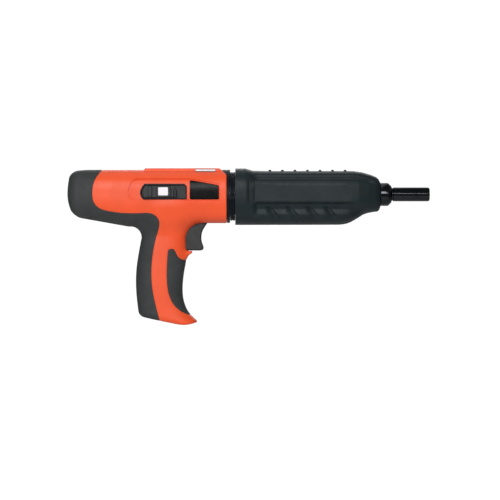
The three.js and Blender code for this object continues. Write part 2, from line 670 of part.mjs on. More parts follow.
function muzzleTube() {
  const flange = BARREL_FRONT_RADIUS - 0.4;
  const flangeX = BARREL_FRONT + GAP;
  return turned([
    [MUZZLE_REAR, FASTENER_BORE], [MUZZLE_TIP - 1, FASTENER_BORE], [MUZZLE_TIP, FASTENER_BORE + 0.8],
    [MUZZLE_TIP, MUZZLE_RADIUS - 1.2], [MUZZLE_TIP - 1.4, MUZZLE_RADIUS],
    [flangeX + FLANGE_LENGTH, MUZZLE_RADIUS], [flangeX + FLANGE_LENGTH, flange], [flangeX, flange],
    [flangeX, MUZZLE_RADIUS], [MUZZLE_REAR, MUZZLE_RADIUS],
  ], 24);
}

function muzzleNut() {
  const lipX = NUT_FRONT - NUT_LIP;
  const inside = BARREL_FRONT_RADIUS + GAP;
  const lip = MUZZLE_RADIUS + GAP;
  return turned([
    [NUT_X, inside], [lipX, inside], [lipX, lip], [NUT_FRONT, lip], [NUT_FRONT, lip + 0.6],
    [NUT_FRONT - 4, NUT_RADIUS], [NUT_X + 0.8, NUT_RADIUS], [NUT_X, NUT_RADIUS - 0.8],
  ], 28);
}

// ---- Firing group ----
const PIN_NOSE_RADIUS = 2.2;
const STRIKER_LENGTH = 22;
const TAIL_RADIUS = 3.5;
const STRIKER_RADIUS = RECEIVER_BORE - 3;
const PLUG_SPIGOT = 6;
const REAR_HEAD_HEIGHT = 1.3;

function breechBlock() {
  return ringAbout(BREECH_REAR, BREECH_FACE, RECEIVER_BORE - GAP, PIN_NOSE_RADIUS + SLIDE_GAP, 24);
}

function firingPin() {
  const rear = STRIKER_FRONT - STRIKER_LENGTH;
  return turned([
    [rear - 12, 0], [rear - 12, TAIL_RADIUS], [rear, TAIL_RADIUS], [rear, STRIKER_RADIUS],
    [STRIKER_FRONT - 8, STRIKER_RADIUS], [STRIKER_FRONT - 8, STRIKER_RADIUS - 3],
    [STRIKER_FRONT - 2, STRIKER_RADIUS - 3], [STRIKER_FRONT, STRIKER_RADIUS - 5],
    [STRIKER_FRONT, PIN_NOSE_RADIUS], [BREECH_FACE - 1, PIN_NOSE_RADIUS], [BREECH_FACE, PIN_NOSE_RADIUS - 1],
    [BREECH_FACE, 0],
  ], COARSE);
}

function springPlug() {
  const pocket = TAIL_RADIUS + 6;
  const flangeRear = RECEIVER_REAR - GAP - 6;
  return turned([
    [flangeRear, screwHole], [flangeRear + 3, screwHole], [flangeRear + 3, pocket],
    [RECEIVER_REAR + PLUG_SPIGOT, pocket], [RECEIVER_REAR + PLUG_SPIGOT, RECEIVER_BORE - GAP],
    [RECEIVER_REAR - GAP, RECEIVER_BORE - GAP],
    [RECEIVER_REAR - GAP, RECEIVER_RADIUS - 2], [flangeRear, RECEIVER_RADIUS - 3],
  ], COARSE);
}

function firingPinSpring() {
  const rear = RECEIVER_REAR - GAP - 3 + GAP;
  const front = STRIKER_FRONT - STRIKER_LENGTH - GAP;
  return spring(rear, front, TAIL_RADIUS + 3, 1.1, 5);
}

function rearScrew() {
  const seat = -REAR_LENGTH + 1.5;
  const face = seat - REAR_HEAD_HEIGHT;
  const tip = RECEIVER_REAR - 4;
  return turned([
    [face, 0], [face, SCREW_HEAD_RADIUS - 0.8], [face + 0.7, SCREW_HEAD_RADIUS], [seat, SCREW_HEAD_RADIUS],
    [seat, SCREW_RADIUS], [tip, SCREW_RADIUS], [tip, 0],
  ], 16);
}

// ---- Front end ----
// The collar's lip rises behind the housing's chamfered brow.
function collarDisc(x0, x1, extra) {
  const outer = BODY_TOP + COLLAR_DROP + 0.2 + extra;
  return rod(x0, x1, outer, FINE).scale([1, 0.95, 1]).translate([0, 0, -COLLAR_DROP]);
}

function collarLip(extra) {
  return collarDisc(-LIP_LENGTH - extra, COLLAR_X + 0.5, extra)
    .intersect(block(-FAR, FAR, -FAR, FAR, LIP_Z - extra, FAR));
}

function frontCollar() {
  return collarDisc(COLLAR_X, COLLAR_X + COLLAR_LENGTH, 0)
    .add(collarLip(0))
    .subtract(rod(-LIP_LENGTH - 1, COLLAR_X + COLLAR_LENGTH + 1, RECEIVER_RADIUS + GAP, FINE));
}

function lockRing() {
  const outer = RECEIVER_RADIUS + LOCK_RING_RISE;
  const front = LOCK_RING_X + LOCK_RING_LENGTH;
  const notches = [];
  for (let i = 0; i < LOCK_NOTCHES; i++) {
    const notch = new THREE.CylinderGeometry(LOCK_NOTCH_RADIUS, LOCK_NOTCH_RADIUS, 20, 10);
    notch.rotateZ(Math.PI / 2);
    notch.translate(LOCK_RING_X, 0, outer + 0.4);
    notch.rotateX((i + 0.5) * ((2 * Math.PI) / LOCK_NOTCHES));
    notches.push(solid(notch));
  }
  return rod(LOCK_RING_X, front, outer, FINE)
    .subtract(joined(...notches))
    .translate([0, 0, -COLLAR_DROP])
    .subtract(rod(LOCK_RING_X - 1, front + 1, RECEIVER_RADIUS + GAP, FINE));
}

const STOP_X = BARREL_COLLAR_X + BARREL_COLLAR_LENGTH + GAP; // ring that stops the barrel's collar
const STOP_LENGTH = 3;
const PORT_ROWS = 3;
const PORT_PITCH = 18;
const PORT_RADIUS = 3.5;

// Gas ports through the sleeve, each row turned from the one behind it.
function sleevePorts() {
  const ports = [];
  for (let row = 0; row < PORT_ROWS; row++) {
    for (let i = 0; i < 2; i++) {
      const port = new THREE.CylinderGeometry(PORT_RADIUS, PORT_RADIUS, 3 * SLEEVE_RADIUS, 8);
      port.rotateX(i * (Math.PI / 2) + (row * Math.PI) / 4);
      port.translate(STOP_X + (row + 1) * PORT_PITCH, 0, 0);
      ports.push(solid(port));
    }
  }
  return joined(...ports);
}

function sleeve() {
  const inner = SLEEVE_RADIUS - SLEEVE_WALL;
  const stopInner = BARREL_RADIUS + SLIDE_GAP + 1;
  const stopFront = STOP_X + STOP_LENGTH;
  return turned([
    [RECEIVER_FRONT + GAP, inner], [STOP_X, inner], [STOP_X, stopInner], [stopFront, stopInner],
    [stopFront, inner], [SLEEVE_FRONT, inner], [SLEEVE_FRONT, SLEEVE_RADIUS],
    [RECEIVER_FRONT + GAP, SLEEVE_RADIUS],
  ], 24).subtract(sleevePorts());
}

const FLARE_END = 11.7; // full-height collar at the muffler's rear
const FLARE_SLOPE = 9;
const FLARE_RISE = 2.8;
const SHOULDER_LENGTH = 32; // the top and sides close in over this length
const SHOULDER_TOP = 0.68; // share of the height left at the front
const SHOULDER_SIDE = 0.66; // share of the width left at the front
const CHIN_LENGTH = 36; // the underside closes in over this length
const CHIN_START = 6;
const CHIN_SHARE = 0.575; // share of the depth left at the front
const NOSE_LENGTH = 4;
const NOSE_SHARE = 0.86;
const MUFFLER_POWER = 2.4;
const MUFFLER_RIBS = 7;
const RIB_PITCH = 14.5;
const RIB_START = 40;
const RIB_RISE = 1.4;
const MUFFLER_STOPS = [100, 44, 36, 28, 20, 13, 7, 4, 2, 0.6]; // back from the front end

function clamped(value) {
  return Math.min(1, Math.max(0, value));
}

// The muffler's height above and below the bore and its half width at x.
function mufflerAt(x) {
  const toFront = MUFFLER_FRONT - x;
  const flare = clamped(1 - (x - MUFFLER_X - FLARE_END) / FLARE_SLOPE);
  const shoulder = clamped(toFront / SHOULDER_LENGTH);
  const chin = clamped((toFront - CHIN_START) / CHIN_LENGTH) ** 1.15;
  const nose = noseRound(toFront);
  const topShare = SHOULDER_TOP + (1 - SHOULDER_TOP) * (1 - (1 - shoulder) ** 2);
  const lowShare = CHIN_SHARE + (1 - CHIN_SHARE) * chin * (2 - chin);
  const sideShare = SHOULDER_SIDE + (1 - SHOULDER_SIDE) * shoulder ** 0.6;
  return {
    top: MUFFLER_TOP * topShare * nose + FLARE_RISE * flare,
    bottom: MUFFLER_BOTTOM * lowShare * nose,
    half: MUFFLER_HALF_WIDTH * sideShare * nose,
  };
}

function noseRound(toFront) {
  const near = Math.min(1, toFront / NOSE_LENGTH);
  return NOSE_SHARE + (1 - NOSE_SHARE) * Math.sqrt(1 - (1 - near) ** 2);
}

function mufflerForm(inset, from, to) {
  const marks = [from, from + 0.01, MUFFLER_X + FLARE_END, MUFFLER_X + FLARE_END + FLARE_SLOPE, to];
  MUFFLER_STOPS.forEach((back) => marks.push(MUFFLER_FRONT - back));
  const stops = [...new Set(marks)].filter((x) => x >= from && x <= to).sort((a, b) => a - b);
  const count = inset > 0 ? INNER_POINTS : OUTER_POINTS;
  const kept = stops.filter((x, i) => i === 0 || x - stops[i - 1] > 0.05);
  return loft(kept.map((x) => {
    const { top, bottom, half } = mufflerAt(Math.min(x + inset, MUFFLER_FRONT));
    return section(x, half - inset, top - inset, bottom - inset, MUFFLER_POWER, count);
  }));
}

function mufflerShell() {
  const outer = mufflerForm(0, MUFFLER_X, MUFFLER_FRONT);
  const bars = [];
  for (let i = 0; i < MUFFLER_RIBS; i++) {
    const x = MUFFLER_X + RIB_START + i * RIB_PITCH;
    bars.push(block(x - 1.5, x + 1.5, -10, 10, MUFFLER_TOP - 2, MUFFLER_TOP + RIB_RISE));
  }
  const cavity = mufflerForm(MUFFLER_WALL, RECEIVER_FRONT, MUFFLER_FRONT - MUFFLER_WALL);
  return outer
    .add(joined(...bars))
    .subtract(cavity)
    .subtract(rod(MUFFLER_X - 1, RECEIVER_FRONT + 1, RECEIVER_RADIUS + GAP, FINE))
    .subtract(rod(MUFFLER_FRONT - 2 * MUFFLER_WALL, MUFFLER_FRONT + 1, NUT_RADIUS + 0.8, 40));
}

function returnSpring() {
  const mean = (BARREL_RADIUS + RECEIVER_BORE) / 2;
  return spring(COLLAR_X + 6 + GAP, BARREL_COLLAR_X - GAP, mean, 1.4, 8);
}

// ---- Strip channel ----
function stripChannel() {
  const x = STRIP_LENGTH / 2;
  const y = STRIP_WIDTH / 2;
  const bottom = footAt(STRIP_X) + SHELL_WALL + 2.4;
  const top = -RECEIVER_RADIUS - GAP;
  const wallX = x + CHANNEL_WALL;
  const wallY = y + CHANNEL_WALL;
  const leverSlot = block(STRIP_X + 1, STRIP_X + 5, -FAR, -y + 0.5, LEVER_Z - 12, LEVER_Z + 6);
  return block(STRIP_X - wallX, STRIP_X + wallX, -wallY, wallY, bottom, top)
    .subtract(stripCut())
    .subtract(leverSlot);
}

// Height of the foot of the grip at x, on its outside.
function footAt(x) {
  return -FOOT_BACK * GRIP_DROP - FOOT_SLOPE * (x - GRIP_NECK_BACK);
}

// The bezel that the load strip enters through is let into the foot.
function mouthRegion(extra) {
  const x = STRIP_LENGTH / 2 + CHANNEL_WALL + MOUTH_RIM + extra;
  const y = STRIP_WIDTH / 2 + CHANNEL_WALL + MOUTH_RIM + extra;
  return block(STRIP_X - x, STRIP_X + x, -y, y, -FAR, footAt(STRIP_X) + SHELL_WALL + 1.8);
}

function channelMouth() {
  return outerForm.subtract(innerForm).intersect(mouthRegion(0)).subtract(stripCut());
}

// ---- Trigger group ----
// The finger's curve, from the underside down.
const TRIGGER_CURVE = [[-22.2, 0], [-25.6, -4.4], [-28.6, -11], [-29.4, -18], [-28.4, -23.5], [-26.9, -27.7]];
const TRIGGER_TOE = [[-27.8, -30.9], [-31, -31.8]];
const TRIGGER_HEEL = [[TRIGGER_BACK + 3.6, -31.5], [TRIGGER_BACK, -24], [TRIGGER_BACK, -8]];
const TRIGGER_HUB = [[-4.5, -3], [-4.5, 2], [-2, 4.4], [2, 4.4], [6, 0]]; // round the pin
const TRIGGER_NECK = [[-25, 2.6]];
const LUG_HALF_HEIGHT = 2;
const SPRING_SPOT_RADIUS = 4.4; // hollow that seats the trigger spring

function triggerOutline() {
  const below = (points) => points.map(([x, z]) => [x, z - BODY_BOTTOM]);
  return [
    ...smooth(below(TRIGGER_CURVE), 12),
    ...outlineAt([...TRIGGER_TOE, ...TRIGGER_HEEL], 0, -BODY_BOTTOM),
    ...outlineAt(TRIGGER_HUB, PIVOT_X, PIVOT_Z),
    ...outlineAt(TRIGGER_NECK, 0, -BODY_BOTTOM),
  ];
}

function trigger() {
  const half = TRIGGER_HALF_WIDTH;
  const lugLow = BAR_Z - LUG_HALF_HEIGHT;
  const lugHigh = BAR_Z + LUG_HALF_HEIGHT;
  const lug = block(TRIGGER_BACK + 1, LUG_FRONT, half - 1, BAR_Y + BAR_WIDTH, lugLow, lugHigh);
  const spot = pinAcross(TRIGGER_BACK - 2.2, SPRING_Z, -4.5, 4.5, SPRING_SPOT_RADIUS, COARSE);
  return prismAcross(triggerOutline(), -half, half)
    .add(lug)
    .subtract(spot)
    .subtract(pinAcross(PIVOT_X, PIVOT_Z, -FAR, FAR, PIN_RADIUS + PIN_GAP));
}

function triggerBar() {
  const rear = SEAR_X + 3 + GAP;
  const front = TRIGGER_BACK + 1 - GAP;
  return block(rear, front, BAR_Y, BAR_Y + BAR_WIDTH, BAR_Z - BAR_HALF_HEIGHT, BAR_Z + BAR_HALF_HEIGHT);
}

function triggerSpring() {
  const rear = STRIP_X + STRIP_LENGTH / 2 + CHANNEL_WALL + 2 * GAP;
  const front = TRIGGER_BACK + 1.6 - GAP;
  return spring(rear, front, 2.8, 0.6, 6, 8, 4).translate(0, 0, SPRING_Z);
}

const SEAR_HALF_WIDTH = 3;
const SEAR_FOOT = 4.4; // the foot's underside below the pin
const SEAR_OUTLINE = [
  [-3, 3.4], [4, 3.4], [8.5, 6], [8.5, 12.4], [11.5, 12.4], [12.5, 3],
  [10, -1], [4, -3.4], [3, -SEAR_FOOT], [-2, -SEAR_FOOT], [-4, -3],
];

function sear() {
  const footTop = SEAR_Z - SEAR_FOOT + 2 * BAR_HALF_HEIGHT;
  const foot = block(SEAR_X - 2, SEAR_X + 3, 0, BAR_Y + BAR_WIDTH, SEAR_Z - SEAR_FOOT, footTop);
  return prismAcross(outlineAt(SEAR_OUTLINE, SEAR_X, SEAR_Z), -SEAR_HALF_WIDTH, SEAR_HALF_WIDTH)
    .add(foot)
    .subtract(pinAcross(SEAR_X, SEAR_Z, -FAR, FAR, PIN_RADIUS + PIN_GAP));
}

// Stands on the floor of the rear cover and lifts the sear's nose.
function searSpring() {
  const x = SEAR_X + 9;
  const low = undersideAt(x) - SHELL_WALL;
  const coil = spring(0, low + SEAR_Z - 4.4, 1.9, 0.45, 4, 8, 4);
  coil.rotateY(-Math.PI / 2);
  return coil.translate(x, 0, -low + 2);
}

// A pin across the body, held at both ends.
function crossPin(x, z) {
  return pinAcross(x, z, -PIN_HALF_LENGTH, PIN_HALF_LENGTH, PIN_RADIUS, COARSE);
}

const LEVER_SIDE = -(STRIP_WIDTH / 2 + CHANNEL_WALL + 2 * GAP); // its face beside the channel
const LEVER_THICKNESS = 3;
const LEVER_OUTLINE = [
  [-3.6, 3.6], [3.6, 3.6], [4, -2], [-8, -13], [-14, -12], [-14.6, -8.6], [-9, -7], [-4, -1],
];

function advanceLever() {
  return prismAcross(outlineAt(LEVER_OUTLINE, LEVER_X, LEVER_Z), LEVER_SIDE - LEVER_THICKNESS, LEVER_SIDE)
    .subtract(pinAcross(LEVER_X, LEVER_Z, -FAR, FAR, PIN_RADIUS + PIN_GAP));
}

function leverPin() {
  return pinAcross(LEVER_X, LEVER_Z, LEVER_SIDE - LEVER_THICKNESS - 2, LEVER_SIDE + 1, PIN_RADIUS, COARSE);
}

// ---- Side slider and trim ----
const TRACK_THICKNESS = 1.6;
const SLIDER_RISE = 1.6; // slider's face beyond the side of the body
const GROOVE_PITCH = 3;
const GROOVE_WIDTH = 1.2;
const GROOVE_FLOOR = SIDE_Y - 0.8;
const REAR_GROOVES = 4;
const FRONT_GROOVES = 2;
const INDICATOR = { rear: -78.6, front: -67.2, bottom: -2, top: 7.4 };
const INDICATOR_SEAT = SIDE_Y - 0.2;

function slideTrack() {
  return prismAcross(grown(windowOutline, -GAP), TRACK_Y, TRACK_Y + TRACK_THICKNESS);
}

// Finger grooves across the slider, the first one at x.
function grooves(count, x, top) {
  const cuts = [];
  for (let i = 0; i < count; i++) {
    const rear = x + i * GROOVE_PITCH;
    cuts.push(block(rear, rear + GROOVE_WIDTH, -FAR, GROOVE_FLOOR, SLIDER.bottom + 1.5, top));
  }
  return joined(...cuts);
}

function powerSlide() {
  const { rear, front, bottom, top } = INDICATOR;
  const room = 2 * GAP;
  return prismAcross(sliderOutline, SIDE_Y - SLIDER_RISE, TRACK_Y - GAP)
    .subtract(grooves(REAR_GROOVES, SLIDER.rear + 8, SLIDER.top - 1.5))
    .subtract(grooves(FRONT_GROOVES, SLIDER.front - 8, SLIDER.top - 4))
    .subtract(block(rear - room, front + room, -FAR, INDICATOR_SEAT, bottom - room, top + room));
}

function indicator() {
  const { rear, front, bottom, top } = INDICATOR;
  return block(rear, front, SIDE_Y - 1.3, INDICATOR_SEAT - GAP, bottom, top);
}

function labelPlate() {
  return prismAcross(labelOutline, SIDE_Y - 0.4, SIDE_Y + LABEL_THICKNESS + GAP);
}

// ---- Assembly ----
function finish(color, roughness, metalness) {
  return { color, roughness, metalness };
}

const ORANGE = finish(0xe8552c, 0.45, 0);
const RUBBER = finish(0x3c3e3f, 0.8, 0);
const BLACK = finish(0x24282b, 0.55, 0);
const MUFFLER = finish(0x2d343a, 0.5, 0);
const OXIDE = finish(0x14181c, 0.3, 0.8);
const STEEL = finish(0x9aa0a4, 0.35, 0.9);
const SPRING_STEEL = finish(0x70757a, 0.4, 0.9);
const POLYMER = finish(0xc9b98a, 0.6, 0);
const WHITE = finish(0xf2f0f0, 0.5, 0);

const parts = {
  housing_right: [housingRight, ORANGE],
  housing_left: [housingLeft, ORANGE],
  rear_cover: [rearCover(), RUBBER],
  grip_insert: [frontInsert(), RUBBER],
  slide_track: [slideTrack(), BLACK],
  power_slide: [powerSlide(), BLACK],
  slide_indicator: [indicator(), WHITE],
  label_plate: [labelPlate(), BLACK],
  shoulder_plate: [shoulderPlate(), STEEL],
  strip_channel: [stripChannel(), STEEL],
  channel_mouth: [channelMouth(), BLACK],
  receiver_tube: [receiverTube(), STEEL],
  guide_bush: [guideBush(), STEEL],
  breech_block: [breechBlock(), STEEL],
  firing_pin: [firingPin(), STEEL],
  spring_plug: [springPlug(), STEEL],
  firing_pin_spring: [firingPinSpring(), SPRING_STEEL],
  rear_cover_screw: [rearScrew(), OXIDE],
  barrel: [barrel(), STEEL],
  piston: [piston(), STEEL],
  piston_ring: [pistonRing(), STEEL],
  buffer_ring: [bufferRing(), POLYMER],
  barrel_return_spring: [returnSpring(), SPRING_STEEL],
  muzzle_tube: [muzzleTube(), OXIDE],
  muzzle_nut: [muzzleNut(), OXIDE],
  front_collar: [frontCollar(), BLACK],
  lock_ring: [lockRing(), BLACK],
  muffler_sleeve: [sleeve(), STEEL],
  muffler_shell: [mufflerShell(), MUFFLER],
  trigger: [trigger(), BLACK],
  trigger_pin: [crossPin(PIVOT_X, PIVOT_Z), STEEL],
  trigger_spring: [triggerSpring(), SPRING_STEEL],
  sear_spring: [searSpring(), SPRING_STEEL],
  trigger_bar: [triggerBar(), STEEL],
  sear: [sear(), STEEL],
  sear_pin: [crossPin(SEAR_X, SEAR_Z), STEEL],
  advance_lever: [advanceLever(), STEEL],
  lever_pin: [leverPin(), STEEL],
};
SCREWS.forEach((one) => {
  parts["housing_screw_" + one.name] = [screw(one), OXIDE];
});

const tool = new THREE.Group();
tool.position.set(-GRIP_CENTRE_X, 0, -GRIP_CENTRE_Z);
Object.entries(parts).forEach(([name, [shape, look]]) => {
  const geometry = shape.isBufferGeometry ? shape : geometryOf(shape);
  const mesh = new THREE.Mesh(geometry, new THREE.MeshStandardMaterial(look));
  mesh.name = name;
  tool.add(mesh);
});

const group = new THREE.Group();
group.add(tool);
export default group;
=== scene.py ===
"""Looks of a pistol-form powder-actuated fastening tool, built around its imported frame.

Shapes are worked out in millimetres with the bore axis at Y = 0, Z = 0 and the housing's front
face at X = 0, and are then placed in the frame, which is in metres.
"""
import json
import math

import bmesh
import bpy
import numpy as np
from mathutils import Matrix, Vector


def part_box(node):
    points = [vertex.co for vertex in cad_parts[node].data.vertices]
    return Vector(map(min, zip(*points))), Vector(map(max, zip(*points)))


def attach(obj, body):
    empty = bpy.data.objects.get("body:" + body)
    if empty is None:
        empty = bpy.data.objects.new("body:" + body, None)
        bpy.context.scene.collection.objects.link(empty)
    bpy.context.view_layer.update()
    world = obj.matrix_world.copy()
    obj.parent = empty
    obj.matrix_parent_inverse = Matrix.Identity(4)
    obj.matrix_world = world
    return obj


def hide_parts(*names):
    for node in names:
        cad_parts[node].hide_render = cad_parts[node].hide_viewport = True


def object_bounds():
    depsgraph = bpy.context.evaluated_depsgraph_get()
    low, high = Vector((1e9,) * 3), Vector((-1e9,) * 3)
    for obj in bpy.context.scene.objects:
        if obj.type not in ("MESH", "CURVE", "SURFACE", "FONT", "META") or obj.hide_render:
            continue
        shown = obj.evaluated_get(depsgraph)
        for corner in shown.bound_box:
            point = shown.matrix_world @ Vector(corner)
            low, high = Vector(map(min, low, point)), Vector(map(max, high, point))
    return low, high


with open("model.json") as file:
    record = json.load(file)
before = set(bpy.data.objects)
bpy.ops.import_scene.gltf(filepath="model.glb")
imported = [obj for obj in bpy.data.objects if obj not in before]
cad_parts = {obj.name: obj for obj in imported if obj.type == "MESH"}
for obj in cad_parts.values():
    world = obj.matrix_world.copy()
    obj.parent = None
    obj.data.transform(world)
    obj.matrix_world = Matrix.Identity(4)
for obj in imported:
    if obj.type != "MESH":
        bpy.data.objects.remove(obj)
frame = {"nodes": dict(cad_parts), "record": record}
CAD_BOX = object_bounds()

# ---- Places from the frame ----
MM = 1000.0
FRONT_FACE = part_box("housing_right")[1].x * MM
BORE_HEIGHT = (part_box("barrel")[0].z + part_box("barrel")[1].z) / 2 * MM


def span(node):
    """Lowest and highest corner of a node, in working millimetres."""
    shift = Vector((FRONT_FACE, 0, BORE_HEIGHT))
    return [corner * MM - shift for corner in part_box(node)]


REAR = -span("rear_cover")[0].x
TOP = 28.3
RIB_TOP = span("housing_right")[1].z
BOTTOM = 33.5
HALF_WIDTH = -span("housing_right")[0].y
GRIP_HALF_WIDTH = 17.5
WALL = 2.6
HIDDEN = 400.0
SEAM = 0.3
JOINT = 0.06
SHELL_STEP = 0.85
HOLLOW_STEP = 2.4
GRID_ROOM = Vector((2, 2, 2))

# ---- Outlines in the X-Z plane ----
COVER_LINE = [
    (-143.6, 31), (-143.9, 28.3), (-146.9, 23.5), (-151.3, 16.4), (-153.8, 8.6), (-154.4, 0.8), (-153.6, -7),
    (-150.8, -12.5), (-146.3, -16.4), (-140, -18.9), (-131, -20.7), (-119, -22), (-104, -22.4), (-90, -22),
    (-82.5, -24.6), (-78.4, -29.5), (-77.5, -35), (-78.8, -42), (-81.6, -51), (-84.2, -63), (-86.2, -77),
    (-86.9, -92), (-86, -107), (-83.6, -121), (-80.3, -134.7), (-77.1, -147), (-75.4, -155),
]
INSERT_LINE = [
    (-38, -76.5), (-46, -76.4), (-51, -75.7), (-54.8, -73.6), (-57.6, -70), (-59.6, -65.8), (-61.8, -63.6),
    (-64.9, -63.3), (-67.3, -65), (-68.1, -69), (-68.9, -80), (-69.2, -95), (-68, -110), (-64.9, -121),
    (-60.3, -128.7), (-53.6, -134.9), (-47.5, -138), (-43, -139.5),
]
GRIP_FRONT = [
    (-10, -47), (-52.4, -46.8), (-62, -46.5), (-75.7, -47), (-87.9, -49.1), (-99.9, -50.7), (-111, -51.2),
    (-121.7, -50.2), (-131.3, -47.1), (-137.5, -43.4), (-142.3, -39), (-146, -34.8), (-156, -22),
]
GRIP_BACK = [
    (-10, -98.6), (-47.3, -98.8), (-53.9, -99.6), (-66.1, -101.8), (-79.5, -104), (-92.8, -105.2),
    (-106.4, -105.3), (-120.4, -104.4), (-137.6, -102.4), (-156, -100.8),
]
FOOT_LINE = [
    (-112, -139.2), (-99, -141.9), (-76.9, -146.6), (-62, -149.6), (-52, -151.2), (-43, -150.6), (-30, -147),
]
TRIGGER_FRONT = [
    (-22.4, -33.2), (-25.3, -37.4), (-28.1, -42.3), (-29.4, -48), (-29.4, -52.6), (-28.4, -57), (-27, -61),
    (-27.6, -64), (-30.6, -65.3),
]
TRIGGER_BACK = [
    (-49.2, -65.2), (-50.2, -64), (-50.2, -41.5), (-40.5, -31.5), (-40.5, -26.5), (-38, -24.1), (-34, -24.1),
    (-30, -28.5), (-25, -31),
]
WINDOW_OUTLINE = [
    (-98.3, 1.2), (-98, -1.5), (-97, -3.8), (-95.5, -5.4), (-46.7, -5.4), (-46.7, 7.9), (-48.9, 10.4),
    (-94, 10.4), (-96.2, 7.6), (-97.8, 4.4),
]
SLIDER_OUTLINE = [
    (-96.8, 1.2), (-96.3, -1.8), (-94.9, -4.6), (-57.5, -4.6), (-57.5, 4), (-61, 9.5),
    (-93.4, 9.5), (-95.6, 6.4),
]
LABEL_OUTLINE = [(-42.4, -6.5), (-8.7, -6.5), (-8.9, 9.8), (-39, 15.4), (-42.4, 15.4)]
PAD_OUTLINE = [
    (-108, -8.2), (-112.6, -4.5), (-113.6, 1), (-112.2, 8), (-109, 14.6), (-104.5, 17.4), (-45, 17.4),
    (-38, 17), (-7, 11.4), (-6.7, -8.2),
]
PAD_STEP = [(-106, -7.4), (-109.6, -4), (-110.4, 1), (-109.4, 7), (-106.6, 11.6), (-60, 11.6), (-60, -7.4)]


# ---- Distances ----
def round_union(a, b, radius):
    """Two solids joined, with a fillet."""
    near = np.hypot(np.maximum(radius - a, 0), np.maximum(radius - b, 0))
    return np.maximum(radius, np.minimum(a, b)) - near


def round_cut(a, b, radius):
    """What two solids share, with rounded edges."""
    near = np.hypot(np.maximum(radius + a, 0), np.maximum(radius + b, 0))
    return np.minimum(-radius, np.maximum(a, b)) + near


def slab(value, low, high):
    """How far a coordinate is outside an interval."""
    return np.maximum(low - value, value - high)


def smooth_line(points, per_span=6):
    """A smooth curve through a few points."""
    p = np.array(points, float)
    p = np.vstack([2 * p[0] - p[1], p, 2 * p[-1] - p[-2]])
    t = np.linspace(0, 1, per_span, endpoint=False)[:, None]
    spans = [
        0.5 * (2 * b + (c - a) * t + (2 * a - 5 * b + 4 * c - d) * t**2 + (3 * b - a - 3 * c + d) * t**3)
        for a, b, c, d in zip(p, p[1:], p[2:], p[3:])
    ]
    return np.vstack(spans + [p[-2:-1]])


def edge_along(points):
    """The second coordinate of a smooth curve as a function of its first."""
    line = smooth_line(points, 10)
    line = line[np.argsort(line[:, 0])]
    return lambda value: np.interp(value, line[:, 0], line[:, 1])


def outline_distance(outline, x, z):
    """Distance from a closed outline, negative inside it."""
    shape = np.shape(x)
    px, pz = np.ravel(x), np.ravel(z)
    nearest = np.full(px.shape, HIDDEN**2)
    inside = np.zeros(px.shape, bool)
    corners = np.array(outline, float)
    for (ax, az), (bx, bz) in zip(corners, np.roll(corners, -1, axis=0)):
        dx, dz = bx - ax, bz - az
        share = np.clip(((px - ax) * dx + (pz - az) * dz) / (dx * dx + dz * dz), 0, 1)
        nearest = np.minimum(nearest, (px - ax - share * dx) ** 2 + (pz - az - share * dz) ** 2)
        crosses = (az > pz) != (bz > pz)
        if az != bz:
            inside ^= crosses & (px < ax + (pz - az) * dx / dz)
    distance = np.sqrt(nearest)
    return np.where(inside, -distance, distance).reshape(shape)


cover_line = smooth_line(COVER_LINE)
insert_line = smooth_line(INSERT_LINE)
COVER_REGION = [(-143.6, HIDDEN), *cover_line, (-75, -HIDDEN), (-HIDDEN, -HIDDEN), (-HIDDEN, HIDDEN)]
INSERT_REGION = [*insert_line, (HIDDEN, -139.5), (HIDDEN, -76.5)]
grip_front = edge_along(GRIP_FRONT)
grip_back = edge_along(GRIP_BACK)
foot_height = edge_along(FOOT_LINE)


def upper_body(x, y, z):
    """The upper housing: a rounded section that narrows a little to its domed rear end."""
    half = HALF_WIDTH * (1 - 0.06 * np.clip(-x / REAR, 0, 1))
    depth = np.interp(x, [-REAR, -113.6, -60], [25.0, 37.6, BOTTOM])
    roof = TOP - 1.5 * np.clip((-160 - x) / 18, 0, 1) ** 1.5
    height = np.where(z > 0, roof, depth)
    share = np.cbrt(np.abs(y / half) ** 3 + np.abs(z / height) ** 3)
    side = np.hypot(y, z) * (1 - 1 / np.maximum(share, 1e-3))
    crown = np.where(z > 0, 0.0055, 0.011) * z * z + 0.006 * y * y
    return round_cut(side, crown - REAR - x, 8)


def grip(x, y, z):
    """The handle, with its hooked toe."""
    front, back = grip_front(z), grip_back(z)
    middle, deep = (front + back) / 2, (front - back) / 2
    share = (np.abs((x - middle) / deep) ** 2.5 + np.abs(y / GRIP_HALF_WIDTH) ** 2.5) ** 0.4
    side = np.hypot(x - middle, y) * (1 - 1 / np.maximum(share, 1e-3))
    edge = np.interp(x, [-95, -60, -44], [6, 5, 4])
    return round_cut(round_cut(side, foot_height(x) - z, edge), z + 16, 1)


def top_rib(x, y, z):
    """The raised rib along the top."""
    across = round_cut(np.abs(y) - 17, slab(z, 5, RIB_TOP), 1.6)
    return round_cut(across, slab(x, -94.8, 1), 0.8)


def finger_stop(x, y, z):
    """The small lip under the trigger."""
    under = np.interp(x, [-60, -47, -43.5, -40.5], [-76, -73.5, -70.2, -68.2])
    shelf = round_cut(slab(z, under, -65.7), slab(x, -60, -40.1), 0.8)
    return round_cut(shelf, np.abs(y) - 9, 2)


def body(x, y, z):
    """The whole outside of the housing and its covers."""
    web = np.interp(x, [-92, -60], [14, 19])
    whole = round_union(upper_body(x, y, z), grip(x, y, z), web)
    whole = round_union(whole, finger_stop(x, y, z), 4)
    whole = round_union(whole, top_rib(x, y, z), 1)
    brow = ((x + 7.5) * 7.2 + (z - 29.1) * 7.5) / math.hypot(7.2, 7.5)
    return round_cut(round_cut(whole, x, 1.2), brow, 0.8)


